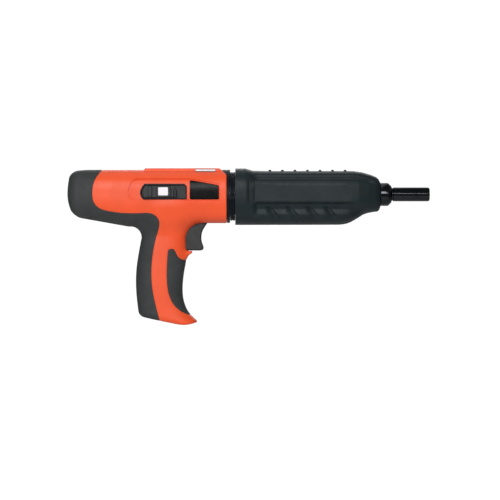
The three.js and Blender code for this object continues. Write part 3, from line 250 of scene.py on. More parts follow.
def body_in_detail(x, y, z):
    """The body with its seams rolled in."""
    seam = np.minimum(
        np.abs(outline_distance(COVER_REGION, x, z)),
        np.minimum(np.abs(outline_distance(INSERT_REGION, x, z)), np.abs(y)),
    )
    return body(x, y, z) + 0.5 * np.clip(1 - seam / 1.3, 0, 1) ** 2


def shell_inside(x, y, z):
    """The inside of the housing's wall, clear of the screw bosses."""
    inside = body(x, y, z) + WALL
    for middle_x, middle_z, head, _, _ in screw_places():
        inside = np.maximum(inside, head + 1.9 - np.hypot(x - middle_x, z - middle_z))
    return inside


def skin_y(x, z, height):
    """Where the right side of the body, moved out by height, is at a place in the X-Z plane."""
    outer, inner = np.full(np.shape(x), -HALF_WIDTH - 5.0), np.full(np.shape(x), -6.0)
    for _ in range(24):
        middle = (outer + inner) / 2
        out = body(x, middle, z) > height
        outer, inner = np.where(out, middle, outer), np.where(out, inner, middle)
    return middle


# ---- Meshes from distances ----
def surface_net(field, low, high, step):
    """Vertices and quads of the surface where a field is zero."""
    axes = [np.arange(a, b + step, step) for a, b in zip(low, high)]
    y, z = np.meshgrid(axes[1], axes[2], indexing="ij")
    grid = np.stack([field(np.full(y.shape, x), y, z) for x in axes[0]])
    size = np.array(grid.shape)
    weight = np.array([size[1] * size[2], size[2], 1])
    cells, points, quads = [], [], []
    for axis in range(3):
        first = np.moveaxis(grid, axis, 0)[:-1]
        second = np.moveaxis(grid, axis, 0)[1:]
        found = np.argwhere((first < 0) != (second < 0))
        start = first[tuple(found.T)]
        share = start / (start - second[tuple(found.T)])
        others = [a for a in range(3) if a != axis]
        at = np.empty_like(found)
        at[:, axis], at[:, others[0]], at[:, others[1]] = found.T
        u, v = (axis + 1) % 3, (axis + 2) % 3
        crossing = at.astype(float)
        crossing[:, axis] += share
        corners = []
        for du, dv in ((-1, -1), (0, -1), (0, 0), (-1, 0)):
            cell = at.copy()
            cell[:, u] += du
            cell[:, v] += dv
            corners.append(cell @ weight)
            cells.append(corners[-1])
            points.append(crossing)
        quad = np.stack(corners, 1)
        quads.append(np.where((start < 0)[:, None], quad, quad[:, ::-1]))
    names, index = np.unique(np.concatenate(cells), return_inverse=True)
    points = np.concatenate(points)
    count = np.bincount(index)
    middles = np.stack([np.bincount(index, points[:, k]) / count for k in range(3)], 1)
    faces = np.searchsorted(names, np.concatenate(quads))
    return middles * step + [a[0] for a in axes], faces


def settle(points, field, rounds=3, reach=0.04):
    """Moves points onto the surface where a field is zero."""
    for _ in range(rounds):
        value = field(*points.T)
        slope = np.stack(
            [(field(*(points + e).T) - field(*(points - e).T)) / (2 * reach) for e in np.eye(3) * reach], 1
        )
        move = (value / np.maximum((slope**2).sum(1), 0.05))[:, None] * slope
        points = points - np.clip(move, -0.6, 0.6)
    return points


def placed(points):
    """Working millimetres to metres in the frame."""
    return (np.asarray(points, float) + [FRONT_FACE, 0, BORE_HEIGHT]) / MM


def mesh_object(name, points, faces):
    """A new object from working millimetres."""
    mesh = bpy.data.meshes.new(name)
    mesh.from_pydata(placed(points).tolist(), [], [list(map(int, f)) for f in faces])
    mesh.update()
    made = bpy.data.objects.new(name, mesh)
    bpy.context.scene.collection.objects.link(made)
    return made


def from_field(name, field, low, high, step, detail=None):
    """The surface of a field, or of its detailed form, as an object."""
    points, faces = surface_net(field, low, high, step)
    return mesh_object(name, settle(points, detail or field), faces)


def combine(piece, other, operation="DIFFERENCE"):
    """A boolean of two closed meshes, left in the first."""
    step = piece.modifiers.new("step", "BOOLEAN")
    step.operation, step.solver, step.object = operation, "MANIFOLD", other
    depsgraph = bpy.context.evaluated_depsgraph_get()
    result = bpy.data.meshes.new_from_object(piece.evaluated_get(depsgraph), depsgraph=depsgraph)
    piece.modifiers.clear()
    piece.data = result
    bpy.data.objects.remove(other)
    return piece


def copy_of(piece, name):
    """A second object with its own mesh."""
    made = bpy.data.objects.new(name, piece.data.copy())
    bpy.context.scene.collection.objects.link(made)
    return made


def prism(outline, y0, y1):
    """An X-Z outline run along Y."""
    corners = [(x, y, z) for y in (y0, y1) for x, z in outline]
    count = len(outline)
    area = sum(ax * bz - bx * az for (ax, az), (bx, bz) in zip(outline, [*outline[1:], outline[0]]))
    ends = [list(range(count)), list(range(2 * count - 1, count - 1, -1))]
    sides = [[i, i + count, (i + 1) % count + count, (i + 1) % count] for i in range(count)]
    faces = ends + sides
    if area < 0:
        faces = [f[::-1] for f in faces]
    return mesh_object("cutter", corners, faces)


def box(x0, x1, y0, y1, z0, z1):
    """A block between two corners."""
    return prism([(x0, z0), (x1, z0), (x1, z1), (x0, z1)], y0, y1)


def turned(name, profile, steps=96):
    """A closed profile of (x, radius) turned about the bore axis."""
    points, faces = [], []
    count = len(profile)
    for i in range(steps):
        angle = 2 * math.pi * i / steps
        for x, r in profile:
            points.append((x, r * math.cos(angle), r * math.sin(angle)))
    for i in range(steps):
        j = (i + 1) % steps
        for k in range(count):
            n = (k + 1) % count
            faces.append([i * count + k, i * count + n, j * count + n, j * count + k])
    made = mesh_object(name, points, faces)
    face_outwards(made)
    return made


def face_outwards(piece):
    """Turns every face of a closed piece outwards."""
    mesh = bmesh.new()
    mesh.from_mesh(piece.data)
    bmesh.ops.recalc_face_normals(mesh, faces=mesh.faces)
    mesh.to_mesh(piece.data)
    mesh.free()


def grown(outline, distance):
    """An outline moved outwards."""
    p = np.array(outline, float)
    before, after = p - np.roll(p, 1, axis=0), np.roll(p, -1, axis=0) - p
    along = before / np.linalg.norm(before, axis=1)[:, None] + after / np.linalg.norm(after, axis=1)[:, None]
    along /= np.linalg.norm(along, axis=1)[:, None]
    turn = np.sign(np.sum(p[:, 0] * np.roll(p[:, 1], -1) - np.roll(p[:, 0], -1) * p[:, 1]))
    return [tuple(q) for q in p + turn * distance * np.stack([along[:, 1], -along[:, 0]], 1)]


def rounded(outline, radius, steps=5):
    """An outline with its corners rounded and its long sides divided."""
    corners = [Vector(c) for c in outline]
    points = []
    for i, corner in enumerate(corners):
        back, ahead = corners[i - 1] - corner, corners[(i + 1) % len(corners)] - corner
        reach = min(radius, back.length / 2.1, ahead.length / 2.1)
        start, end = corner + back.normalized() * reach, corner + ahead.normalized() * reach
        if points and (start - points[-1]).length > 4:
            count = int((start - points[-1]).length / 2.5)
            points += [points[-1].lerp(start, k / count) for k in range(1, count)]
        for k in range(steps + 1):
            t = k / steps
            points.append(start * (1 - t) ** 2 + corner * 2 * t * (1 - t) + end * t**2)
    start, end = points[-1], points[0]
    count = int((end - start).length / 2.5)
    points += [start.lerp(end, k / count) for k in range(1, count)]
    return np.array([tuple(q) for q in points])


def draped(name, outline, inner, outer, radius, edge=0.12, rings=14):
    """A plate on the right side that follows the body, between two heights above its skin."""
    rim = rounded(outline, radius)
    middle = (rim.min(axis=0) + rim.max(axis=0)) / 2
    near = 1 - edge / 6
    shares = np.linspace(0, 1, rings)[1:]
    levels = [(share, inner) for share in shares] + [(1, outer - edge), (near, outer)]
    levels += [(share, outer) for share in shares[-2::-1]]
    points = []
    for share, height in levels:
        place = middle + (rim - middle) * share
        side = skin_y(place[:, 0], place[:, 1], height)
        points += [(x, y, z) for (x, z), y in zip(place, side)]
    count = len(rim)
    faces = []
    for row in range(len(levels) - 1):
        here, above = row * count, (row + 1) * count
        for k in range(count):
            beside = (k + 1) % count
            faces.append([here + k, here + beside, above + beside, above + k])
    for row, height in ((0, inner), (len(levels) - 1, outer)):
        hub = len(points)
        points.append((middle[0], float(skin_y(middle[0], middle[1], height)), middle[1]))
        faces += [[hub, row * count + k, row * count + (k + 1) % count] for k in range(count)]
    made = mesh_object(name, points, faces)
    face_outwards(made)
    return made


# ---- Materials ----
def material(name, colour, roughness, metallic=0.0, variation=0.06, patch=45.0, grain=1500.0, bump=0.05,
             depth=0.00015, worn=0.12, worn_colour=None, **sockets):
    """A procedural surface: slow colour and gloss variation, a fine grain in relief and paler worn edges."""
    made = bpy.data.materials.new(name)
    made.use_nodes = True
    tree = made.node_tree
    nodes, links = tree.nodes, tree.links
    shader = nodes["Principled BSDF"]
    shader.inputs["Metallic"].default_value = metallic
    for socket, value in sockets.items():
        shader.inputs[socket.replace("_", " ")].default_value = value
    place = nodes.new("ShaderNodeTexCoord").outputs["Object"]

    def noise(scale, detail=3.0):
        texture = nodes.new("ShaderNodeTexNoise")
        texture.inputs["Scale"].default_value = scale
        texture.inputs["Detail"].default_value = detail
        links.new(place, texture.inputs["Vector"])
        return texture.outputs["Fac"]

    def blended(factor, first, second):
        mix = nodes.new("ShaderNodeMix")
        mix.data_type = "RGBA"
        links.new(factor, mix.inputs["Factor"])
        for socket, value in ((mix.inputs["A"], first), (mix.inputs["B"], second)):
            if isinstance(value, tuple):
                socket.default_value = (*value, 1)
            else:
                links.new(value, socket)
        return mix.outputs["Result"]

    def spread(source, low, high, new_low, new_high):
        ramp = nodes.new("ShaderNodeMapRange")
        for key, value in (("From Min", low), ("From Max", high), ("To Min", new_low), ("To Max", new_high)):
            ramp.inputs[key].default_value = value
        links.new(source, ramp.inputs["Value"])
        return ramp.outputs["Result"]

    lighter = tuple(min(1, c * (1 + variation) + 0.002) for c in colour)
    darker = tuple(c * (1 - variation) for c in colour)
    base = blended(spread(noise(patch), 0.35, 0.65, 0, 1), darker, lighter)
    edge = nodes.new("ShaderNodeNewGeometry").outputs["Pointiness"]
    edges = spread(edge, 0.53, 0.62, 0, worn)
    rubbed = worn_colour or tuple(min(1, c * 1.5 + 0.05) for c in colour)
    links.new(blended(edges, base, rubbed), shader.inputs["Base Color"])
    gloss = spread(noise(patch * 3, 5.0), 0.3, 0.7, roughness * 0.88, min(1, roughness * 1.14))
    links.new(gloss, shader.inputs["Roughness"])
    relief = nodes.new("ShaderNodeBump")
    relief.inputs["Strength"].default_value = bump
    relief.inputs["Distance"].default_value = depth
    links.new(noise(grain, 2.0), relief.inputs["Height"])
    links.new(relief.outputs["Normal"], shader.inputs["Normal"])
    return made


LOOKS = {
    "housing_orange": material(
        "housing_orange", (0.86, 0.09, 0.022), 0.42, variation=0.03, grain=1100, bump=0.2, worn=0.3,
        worn_colour=(1.0, 0.2, 0.08), Specular_IOR_Level=0.3,
    ),
    "overmould_rubber": material(
        "overmould_rubber", (0.038, 0.04, 0.041), 0.62, variation=0.08, grain=2200, bump=0.5,
        Specular_IOR_Level=0.25,
    ),
    "black_plastic": material(
        "black_plastic", (0.028, 0.029, 0.031), 0.5, grain=1500, bump=0.25, Specular_IOR_Level=0.25,
    ),
    "muffler_plastic": material(
        "muffler_plastic", (0.012, 0.019, 0.022), 0.42, variation=0.12, grain=900, bump=0.15,
        Specular_IOR_Level=0.15,
    ),
    # Painted shade: a near-black tone for the rim round the slider's window, standing in for the shadowed gap
    # at its edge.
    "slot_rim_shade": material(
        "slot_rim_shade", (0.006, 0.006, 0.007), 0.45, grain=1500, bump=0.2, Specular_IOR_Level=0.25,
    ),
    "ring_plastic": material(
        "ring_plastic", (0.004, 0.006, 0.01), 0.4, variation=0.12, grain=900, bump=0.15,
        Specular_IOR_Level=0.1,
    ),
    "label_film": material(
        "label_film", (0.002, 0.002, 0.002), 0.25, variation=0.2, bump=0.03, worn=0.01,
        Specular_IOR_Level=0.08,
    ),
    "white_plastic": material("white_plastic", (0.84, 0.8, 0.83), 0.35, variation=0.02, bump=0.05, worn=0.0),
    "oxide_steel": material(
        "oxide_steel", (0.028, 0.031, 0.034), 0.13, metallic=1.0, variation=0.15, patch=80,
        bump=0.02, worn=0.06,
    ),
    "steel": material("steel", (0.36, 0.36, 0.36), 0.42, metallic=1.0, patch=120, bump=0.1),
    "spring_steel": material("spring_steel", (0.28, 0.29, 0.3), 0.35, metallic=1.0, patch=150, bump=0.1),
    "buffer_polymer": material("buffer_polymer", (0.55, 0.42, 0.18), 0.5, bump=0.2),
}


def finished(piece, name, look, body_name, *nodes, sharp=38):
    """Names a piece, gives it its finish and its body, and hides the nodes it stands for."""
    piece.name = name
    piece.data.materials.clear()
    piece.data.materials.append(LOOKS[look])
    piece.data.polygons.foreach_set("material_index", np.zeros(len(piece.data.polygons), np.int32))
    piece.data.shade_smooth()
    piece.data.set_sharp_from_angle(angle=math.radians(sharp))
    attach(piece, body_name)
    if nodes:
        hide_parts(*nodes)
    return piece


# ---- Housing ----
def housing_pieces():
    low, high = (-REAR - 3, -HALF_WIDTH - 3, -155), (3, HALF_WIDTH + 3, RIB_TOP + 3)
    trigger_low, trigger_high = span("trigger")
    shell = from_field("shell", body, low, high, SHELL_STEP, body_in_detail)
    hollow = from_field("hollow", shell_inside, low, high, HOLLOW_STEP)
    combine(shell, hollow)
    combine(shell, turned("bore", bore_profile()))
    combine(shell, box(-82, -66, -5, 5, 0, HIDDEN))
    combine(shell, box(-84.6, -63.4, -7.1, 7.1, -HIDDEN, -30))
    combine(shell, box(trigger_low.x - 6, trigger_high.x + 0.7, -6.6, 6.6, -65.7, -26))
    combine(shell, box(-85.8, -62.2, -8.8, 8.8, -HIDDEN, -141.8))
    cover = copy_of(shell, "cover")
    combine(cover, prism(COVER_REGION, -HIDDEN, HIDDEN), "INTERSECT")
    combine(shell, prism(grown(COVER_REGION, JOINT), -HIDDEN, HIDDEN))
    insert = copy_of(shell, "insert")
    combine(insert, prism(INSERT_REGION, -HIDDEN, HIDDEN), "INTERSECT")
    combine(shell, prism(grown(INSERT_REGION, JOINT), -HIDDEN, HIDDEN))
    drill_screws(shell)
    left = copy_of(shell, "left")
    combine(shell, box(-HIDDEN, HIDDEN, -HIDDEN, -SEAM / 2, -HIDDEN, HIDDEN), "INTERSECT")
    combine(left, box(-HIDDEN, HIDDEN, SEAM / 2, HIDDEN, -HIDDEN, HIDDEN), "INTERSECT")
    combine(shell, draped("pad_groove", PAD_OUTLINE, -1.6, 3, radius=3))
    combine(shell, draped("pad", grown(PAD_OUTLINE, -1.6), -2, -0.5, radius=3), "UNION")
    combine(shell, draped("pad_step", PAD_STEP, -1.2, 3, radius=3))
    combine(shell, prism(grown(WINDOW_OUTLINE, 1.2), -HIDDEN, -20))
    low, high = span("shoulder_plate")
    combine(shell, box(low.x - SEAM, high.x + SEAM, -HIDDEN, high.y + SEAM, low.z - SEAM, high.z + SEAM))
    finished(cover, "rear_cover_skin", "overmould_rubber", "housing", "rear_cover")
    finished(insert, "grip_insert_skin", "overmould_rubber", "housing", "grip_insert")
    finished(shell, "housing_right_skin", "housing_orange", "housing", "housing_right")
    finished(left, "housing_left_skin", "housing_orange", "housing", "housing_left")


def bore_profile():
    """The hole in the housing's front for the receiver tube."""
    radius = -span("receiver_tube")[0].y + 0.4
    return [(-40, 0.01), (-40, radius), (40, radius), (40, 0.01)]


def across(x, z, radius, y0, y1, sides=40):
    """A round bar along Y."""
    turns = np.linspace(0, 2 * math.pi, sides, endpoint=False)
    return prism([(x + radius * math.cos(t), z + radius * math.sin(t)) for t in turns], y0, y1)


def screw_places():
    """Each housing screw's axis, head radius, head depth and reach."""
    for place in ("front", "neck", "foot"):
        low, high = span("housing_screw_" + place)
        yield (low.x + high.x) / 2, (low.z + high.z) / 2, (high.x - low.x) / 2, low.y, high.y


def drill_screws(piece):
    """Cuts each housing screw's head seat and shank hole."""
    for x, z, head, tip, reach in screw_places():
        combine(piece, across(x, z, head + SEAM, reach - 2.7, HIDDEN))
        combine(piece, across(x, z, head / 2 + SEAM, tip - SEAM, reach))


def label():
    piece = draped("label", LABEL_OUTLINE, -0.55, -0.05, radius=2)
    return finished(piece, "label_skin", "label_film", "housing", "label_plate")


def shoulder_plate():
    low, high = span("shoulder_plate")

    def field(x, y, z):
        window = round_cut(slab(x, low.x, high.x), slab(z, low.z, high.z), 0.6)
        return round_cut(np.maximum(window, y - high.y), body(x, y, z) - 0.1, 0.25)

    piece = from_field("plate", field, low - GRID_ROOM, high + GRID_ROOM, 0.35)
    return finished(piece, "shoulder_plate_skin", "steel", "housing", "shoulder_plate")


# ---- Slider ----
def slide_track():
    """The floor of the slider's window, and a near-black rim round it whose colour is painted shade for the
    shadowed gap at the window's edge.
    """
    low, high = span("slide_track")

    def floor_field(x, y, z):
        return round_cut(outline_distance(WINDOW_OUTLINE, x, z) + 0.2, slab(y, low.y, high.y), 0.2)

    def rim_field(x, y, z):
        within = outline_distance(WINDOW_OUTLINE, x, z)
        return round_cut(slab(within, -0.1, 0.95), slab(y, -HALF_WIDTH - 0.4, high.y), 0.35)

    corner = Vector((low.x, -HALF_WIDTH - 1, low.z)) - GRID_ROOM
    track = from_field("track", floor_field, corner, high + GRID_ROOM, 0.5)
    finished(track, "slide_track_skin", "black_plastic", "housing", "slide_track")
    # The rim is a ring of the track; its near-black colour is painted shade for the shadowed gap round the
    # window.
    rim = from_field("rim", rim_field, corner, high + GRID_ROOM, 0.4)
    finished(rim, "slide_rim_shade_skin", "slot_rim_shade", "housing")


def power_slide():
    side = span("power_slide")[0].y

    def field(x, y, z):
        plate = round_cut(outline_distance(SLIDER_OUTLINE, x, z), slab(y, side + 1.3, side + 4.2), 0.8)
        for middle, half in ((-88, 2.2), (-65.6, 1.2), (-62.2, 1.2), (-59, 0.9)):
            height = slab(z, -3.6, 8.4 if middle < -63 else 5.4)
            bar = round_cut(slab(x, middle - half, middle + half), height, 0.6)
            bar = round_cut(bar, slab(y, side, side + 3), 0.6)
            plate = round_union(plate, bar, 0.5)
        frame_ring = round_cut(slab(x, -80.6, -65.4 - 0.2), slab(z, -4, 9), 0.8)
        raised = round_cut(frame_ring, slab(y, side + 0.5, side + 3), 0.5)
        return round_union(plate, raised, 0.4)

    piece = from_field("slide", field, (-100, side - 2, -8), (-54, side + 7, 13), 0.45)
    return finished(piece, "power_slide_skin", "black_plastic", "power_slide", "power_slide")


def slide_indicator():
    side = span("slide_indicator")[0].y

    def field(x, y, z):
        square = round_cut(slab(x, -78.6, -67.2), slab(z, -2, 7.4), 0.8)
        return round_cut(square, slab(y, side, side + 1.6), 0.3)

    piece = from_field("indicator", field, (-80, side - 2, -4), (-65, side + 4, 9), 0.4)
    return finished(piece, "slide_indicator_skin", "white_plastic", "power_slide", "slide_indicator")


# ---- Trigger ----
def trigger():
    low, high = span("trigger")
    pin_low, pin_high = span("trigger_pin")
    bar_low, bar_high = span("trigger_bar")
    outline = [*smooth_line(TRIGGER_FRONT, 4), *TRIGGER_BACK]
    half = -low.y

    def field(x, y, z):
        blade = round_cut(outline_distance(outline, x, z), np.abs(y) - half, 1.8)
        hole = np.hypot(x - (pin_low.x + pin_high.x) / 2, z - (pin_low.z + pin_high.z) / 2)
        lug_height = slab(z, bar_low.z - 0.6, bar_high.z + 0.6)
        lug = round_cut(slab(x, bar_high.x + SEAM, bar_high.x + 9), lug_height, 0.4)
        lug = np.maximum(lug, slab(y, 0, high.y))
        return np.maximum(round_union(blade, lug, 0.4), (pin_high.x - pin_low.x) / 2 + SEAM - hole)

    piece = from_field("trigger", field, low - GRID_ROOM, high + GRID_ROOM, 0.5)
    return finished(piece, "trigger_skin", "black_plastic", "trigger", "trigger")


# ---- Rings behind the muffler ----
def front_collar():
    low, high = span("front_collar")
    reach = high.z + 2.4
    bore = -span("receiver_tube")[0].y + SEAM

    def field(x, y, z):
        away = np.hypot(y / 0.95, z + 2.4) - reach
        disc = round_cut(away, slab(x, SEAM, high.x), 0.7)
        lip = round_cut(away, slab(x, low.x, high.x), 0.7)
        lip = round_cut(lip, 19.6 - z, 0.4)
        return np.maximum(round_union(disc, lip, 0.3), bore - np.hypot(y, z))

    piece = from_field("collar", field, low - GRID_ROOM, high + GRID_ROOM, 0.7)
    return finished(piece, "front_collar_skin", "ring_plastic", "housing", "front_collar")


def lock_ring():
    low, high = span("lock_ring")
    middle, reach = (low.z + high.z) / 2, (high.z - low.z) / 2
    bore = -span("receiver_tube")[0].y + SEAM

    def field(x, y, z):
        away = np.hypot(y, z - middle)
        turn = np.arctan2(z - middle, y)
        tooth = 0.5 * np.clip(np.cos(6 * turn) * 4 - 3, 0, 1)
        ring = round_cut(away - reach + tooth, slab(x, low.x, high.x), 0.8)
        groove = 0.7 * np.exp(-(((x - (low.x + high.x) / 2) / 0.7) ** 2))
        return np.maximum(ring + groove, bore - np.hypot(y, z))

    piece = from_field("ring", field, low - GRID_ROOM, high + GRID_ROOM, 0.6)
    return finished(piece, "lock_ring_skin", "ring_plastic", "housing", "lock_ring")


# ---- Muffler ----
MUFFLER_TOP_LINE = [
    (9.9, 29.9), (21.6, 29.9), (25, 28.9), (30.3, 27.3), (50, 27), (120, 27), (146.4, 27), (157.6, 25.3),
    (166.8, 22.6), (172.5, 20.3), (175.8, 17.6), (177.4, 14), (178.1, 10.5),
]
MUFFLER_LOW_LINE = [
    (9.9, -35.6), (100, -35.5), (130, -35.4), (135.1, -34.9), (139.4, -34), (143.6, -32.4), (150.6, -28.4),
    (157.6, -24.1), (163.3, -21.9), (168.9, -20.7), (174.6, -20.1), (176.9, -17.9), (178.1, -14),
]
MUFFLER_SIDE_LINE = [
    (9.9, 29.3), (22, 29.3), (30, 28.2), (60, 27.6), (140, 27.6), (152, 26.6), (164, 23.4), (172, 20.6),
    (176, 17.8), (178.1, 13.5),
]

RIBS = 7
RIB_START = 49.9
RIB_PITCH = 14.5
FLUTE_STARTS = (46.3, 69.4, 92.5, 112.9)
NOSE_LENGTH = 8


def straight(points):
    """Straight lines between points, as a function of the first coordinate."""
    line = np.array(points, float)
    return lambda value: np.interp(value, line[:, 0], line[:, 1])


muffler_top = straight(MUFFLER_TOP_LINE)
muffler_low = straight(MUFFLER_LOW_LINE)
muffler_side = straight(MUFFLER_SIDE_LINE)


def step_up(value, start, end):
    """0 before start, 1 after end, smooth in between."""
    share = np.clip((value - start) / (end - start), 0, 1)
    return share * share * (3 - 2 * share)


def muffler_relief(x, z):
    """How far the muffler's face is cut in at a place on its side, in millimetres."""
    droop = 6 * step_up(x, 148, 176)
    crease = 3.4 * step_up(22.8 - droop - z, 0, 4.2) * step_up(z, 15.4 - droop, 17.8 - droop)
    crease = crease * step_up(x, 27, 36) * (1 - step_up(x, 162, 175))
    gutter = 4.2 * step_up(-z, 8.4, 14.5) * (1 - step_up(-z, 19, 27))
    gutter = gutter * step_up(x, 29, 36) * (1 - step_up(x, 136, 166))
    recess = 1.4 * step_up(x, 24.4, 25.2) * (1 - step_up(x, 31.6, 32.4))
    recess = recess * (1 - step_up(np.abs(z - 4), 12.5, 14))
    flutes = np.zeros_like(x)
    for start in FLUTE_STARTS:
        along = (x - start) * 0.77 - (z + 17) * 0.64
        off = (x - start) * 0.64 + (z + 17) * 0.77
        width = (0.8 + 1.2 * np.clip(along / 17, 0, 1)) * np.where(off > 0, 0.8, 2.6)
        length = np.exp(-(np.abs((along - 9.0) / 8.8) ** 4))
        flutes = np.maximum(flutes, 3.2 * length * np.exp(-((off / width) ** 2)))
    return crease + gutter + recess + flutes * (z < 0)


def rib_rise(x, sine, y):
    """Height of the cross ribs on the top."""
    rise = np.zeros_like(x)
    for i in range(RIBS):
        middle = RIB_START + RIB_PITCH * i
        rise = np.maximum(rise, 1.5 * (1 - step_up(np.abs(x - middle), 0.9, 1.9)))
    return rise * (1 - step_up(np.abs(y), 10, 12.5)) * (sine > 0)


def muffler_surface(x, angle):
    """The muffler's skin: boxy above, rounder below, with a flat panel on each side."""
    cosine, sine = np.cos(angle), np.sin(angle)
    power = np.where(sine > 0, 3.1, 2.7)
    half, height = muffler_side(x), np.where(sine > 0, muffler_top(x), -muffler_low(x))
    away = 1 / (np.abs(cosine / half) ** power + np.abs(sine / height) ** power) ** (1 / power)
    flat = (27.2 + 3 * (1 - step_up(x, 24, 34))) / np.maximum(np.abs(cosine), 1e-3)
    away = np.minimum(away, flat)
    y, z = away * cosine, away * sine
    away = away - muffler_relief(x, z) + rib_rise(x, sine, y)
    return np.stack([x, away * cosine, away * sine], -1)


def muffler():
    low, high = span("muffler_shell")
    x = np.concatenate([
        np.linspace(low.x, low.x + 1, 3, endpoint=False),
        np.linspace(low.x + 1, high.x - NOSE_LENGTH, 210, endpoint=False),
        high.x - NOSE_LENGTH + NOSE_LENGTH * np.sin(np.linspace(0, math.pi / 2, 16)),
    ])
    steps = 320
    angle = np.linspace(0, 2 * math.pi, steps, endpoint=False)
    grid_x, grid_angle = np.meshgrid(x, angle, indexing="ij")
    outer = muffler_surface(grid_x, grid_angle)
    neck = -span("receiver_tube")[0].y + SEAM
    rings = [*outer]
    rings += ring_stack([(high.x, 14.0), (high.x - 3.5, 14.0), (high.x - 3.5, 16), (high.x - 30, 22),
                         (low.x + 14.2, 23.6), (low.x + 14.2, neck), (low.x, neck)], angle)
    points = np.concatenate(rings)
    faces = tube_faces(len(rings), steps)
    piece = mesh_object("muffler", points, faces)
    face_outwards(piece)
    return finished(piece, "muffler_shell_skin", "muffler_plastic", "housing", "muffler_shell", sharp=50)


def ring_stack(profile, angle):
    """Rings of points for each x and radius of a profile."""
    return [np.stack([np.full(angle.shape, x), r * np.cos(angle), r * np.sin(angle)], -1) for x, r in profile]


def tube_faces(rows, steps):
    """Quads of a closed stack of rings, the last joined to the first."""
    row, column = np.meshgrid(np.arange(rows), np.arange(steps), indexing="ij")
    row, column = row.ravel(), column.ravel()
    following, beside = (row + 1) % rows, (column + 1) % steps
    return np.stack([row * steps + column, row * steps + beside, following * steps + beside,
                     following * steps + column], 1)


# ---- Nose ----
TUBE_RADIUS = 8.2
TUBE_BORE = 4.5


def muzzle_nut():
    low, high = span("muzzle_nut")
    reach = high.z
    lip = TUBE_RADIUS
    profile = [
        (low.x, 11.3), (high.x - 3.6, 11.3), (high.x - 3.6, lip + SEAM), (high.x - 0.3, lip + SEAM),
        (high.x, lip + 0.6), (high.x - 0.2, lip + 1.4), (high.x - 3.6, reach - 0.5),
        (high.x - 4.4, reach - 0.05), (high.x - 5, reach),
        (low.x + 1.0, reach), (low.x + 0.3, reach - 0.3), (low.x, reach - 0.9),
    ]
    return finished(turned("nut", profile), "muzzle_nut_skin", "oxide_steel", "barrel", "muzzle_nut")


def muzzle_tube():
    low, high = span("muzzle_tube")
    nut_front = span("muzzle_nut")[1].x
    outer, bore = TUBE_RADIUS, TUBE_BORE
    profile = [
        (low.x, bore), (high.x - 1.4, bore), (high.x - 0.3, bore + 0.7), (high.x, bore + 1.2),
        (high.x, outer - 2.0), (high.x - 0.35, outer - 0.9), (high.x - 1.2, outer - 0.2), (high.x - 2, outer),
        (nut_front + 2.2, outer), (nut_front + 1.6, outer - 0.7), (nut_front + 0.4, outer - 0.7),
        (nut_front, outer), (nut_front - 3.7, outer),
    ]
    flange = nut_front - 3.6 - SEAM
    profile += [(flange, outer), (flange, 10.6), (flange - 2.7, 10.6), (flange - 2.7, outer), (low.x, outer)]
    return finished(turned("tube", profile), "muzzle_tube_skin", "oxide_steel", "barrel", "muzzle_tube")


# ---- Frame nodes that keep their shape ----
def finish_frame_nodes():
    """Gives every CAD part the finish of its own slot."""
    slots = {part["node"]: part["material_slot"] for part in frame["record"]["subparts"]}
    for name, node in frame["nodes"].items():
        for material_slot in node.material_slots:
            material_slot.link = "OBJECT"
            material_slot.material = LOOKS[slots[name]]


# ---- Camera, light and floor ----
def aimed(thing, target):
    """Points a light or camera at a place."""
    thing.rotation_mode = "QUATERNION"
    thing.rotation_quaternion = (Vector(target) - thing.location).to_track_quat("-Z", "Y")


def camera():
    lens = bpy.data.cameras.new("camera")
    made = bpy.data.objects.new("camera", lens)
    bpy.context.scene.collection.objects.link(made)
    middle = (CAD_BOX[0] + CAD_BOX[1]) / 2
    target = Vector((middle.x + 0.0017, 0, middle.z - 0.0038))
    distance, width = 3.0, 0.58
    lens.lens = lens.sensor_width * distance / width
    lens.clip_start, lens.clip_end = 0.05, 50
    made.location = target + Vector((0, -distance, 0))
    aimed(made, target)
    bpy.context.scene.camera = made


def softbox(name, location, size, power, target):
    light = bpy.data.lights.new(name, "AREA")
    light.shape = "RECTANGLE"
    light.size, light.size_y = size
    light.energy = power
    made = bpy.data.objects.new(name, light)
    made.location = location
    aimed(made, target)
    bpy.context.scene.collection.objects.link(made)


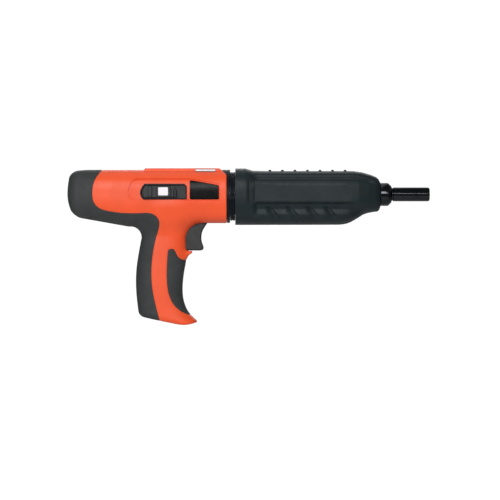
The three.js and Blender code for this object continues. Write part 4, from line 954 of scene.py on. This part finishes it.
def studio():
    middle = (CAD_BOX[0] + CAD_BOX[1]) / 2
    softbox("key", (middle.x - 0.5, -2.2, middle.z + 0.75), (1.4, 0.7), 30, middle)
    softbox("strip", (middle.x, -1.8, middle.z + 0.42), (2.2, 0.1), 9, middle)
    softbox("overhead", (middle.x - 0.2, 0.1, middle.z + 1.2), (1.8, 0.6), 3.5, middle)
    softbox("back", (middle.x, 1.5, middle.z + 0.8), (1.6, 1.0), 10, middle)
    world = bpy.data.worlds.new("studio")
    world.use_nodes = True
    bpy.context.scene.world = world
    tree = world.node_tree
    shade = tree.nodes["Background"]
    bright = tree.nodes.new("ShaderNodeBackground")
    for background, strength in ((shade, 0.2), (bright, 1.05)):
        background.inputs["Color"].default_value = (1, 1, 1, 1)
        background.inputs["Strength"].default_value = strength
    seen = tree.nodes.new("ShaderNodeLightPath").outputs["Is Camera Ray"]
    mix = tree.nodes.new("ShaderNodeMixShader")
    tree.links.new(seen, mix.inputs[0])
    tree.links.new(shade.outputs[0], mix.inputs[1])
    tree.links.new(bright.outputs[0], mix.inputs[2])
    tree.links.new(mix.outputs[0], tree.nodes["World Output"].inputs["Surface"])
    bpy.context.scene.view_settings.view_transform = "Standard"


def floor():
    """A large pale floor under the tool."""
    middle = (CAD_BOX[0] + CAD_BOX[1]) / 2
    height = CAD_BOX[0].z - 0.75
    reach, rings = 2.0, 64
    points = [(middle.x + reach * math.cos(a), reach * math.sin(a), height)
              for a in np.linspace(0, 2 * math.pi, rings, endpoint=False)]
    mesh = bpy.data.meshes.new("floor")
    mesh.from_pydata(points, [], [list(range(rings))])
    made = bpy.data.objects.new("floor", mesh)
    bpy.context.scene.collection.objects.link(made)
    paint = material("floor_paint", (0.9, 0.9, 0.9), 0.9, variation=0.01, patch=3, bump=0.02)
    made.data.materials.append(paint)


finish_frame_nodes()
housing_pieces()
label()
shoulder_plate()
slide_track()
power_slide()
slide_indicator()
trigger()
front_collar()
lock_ring()
muffler()
muzzle_nut()
muzzle_tube()
camera()
studio()
floor()
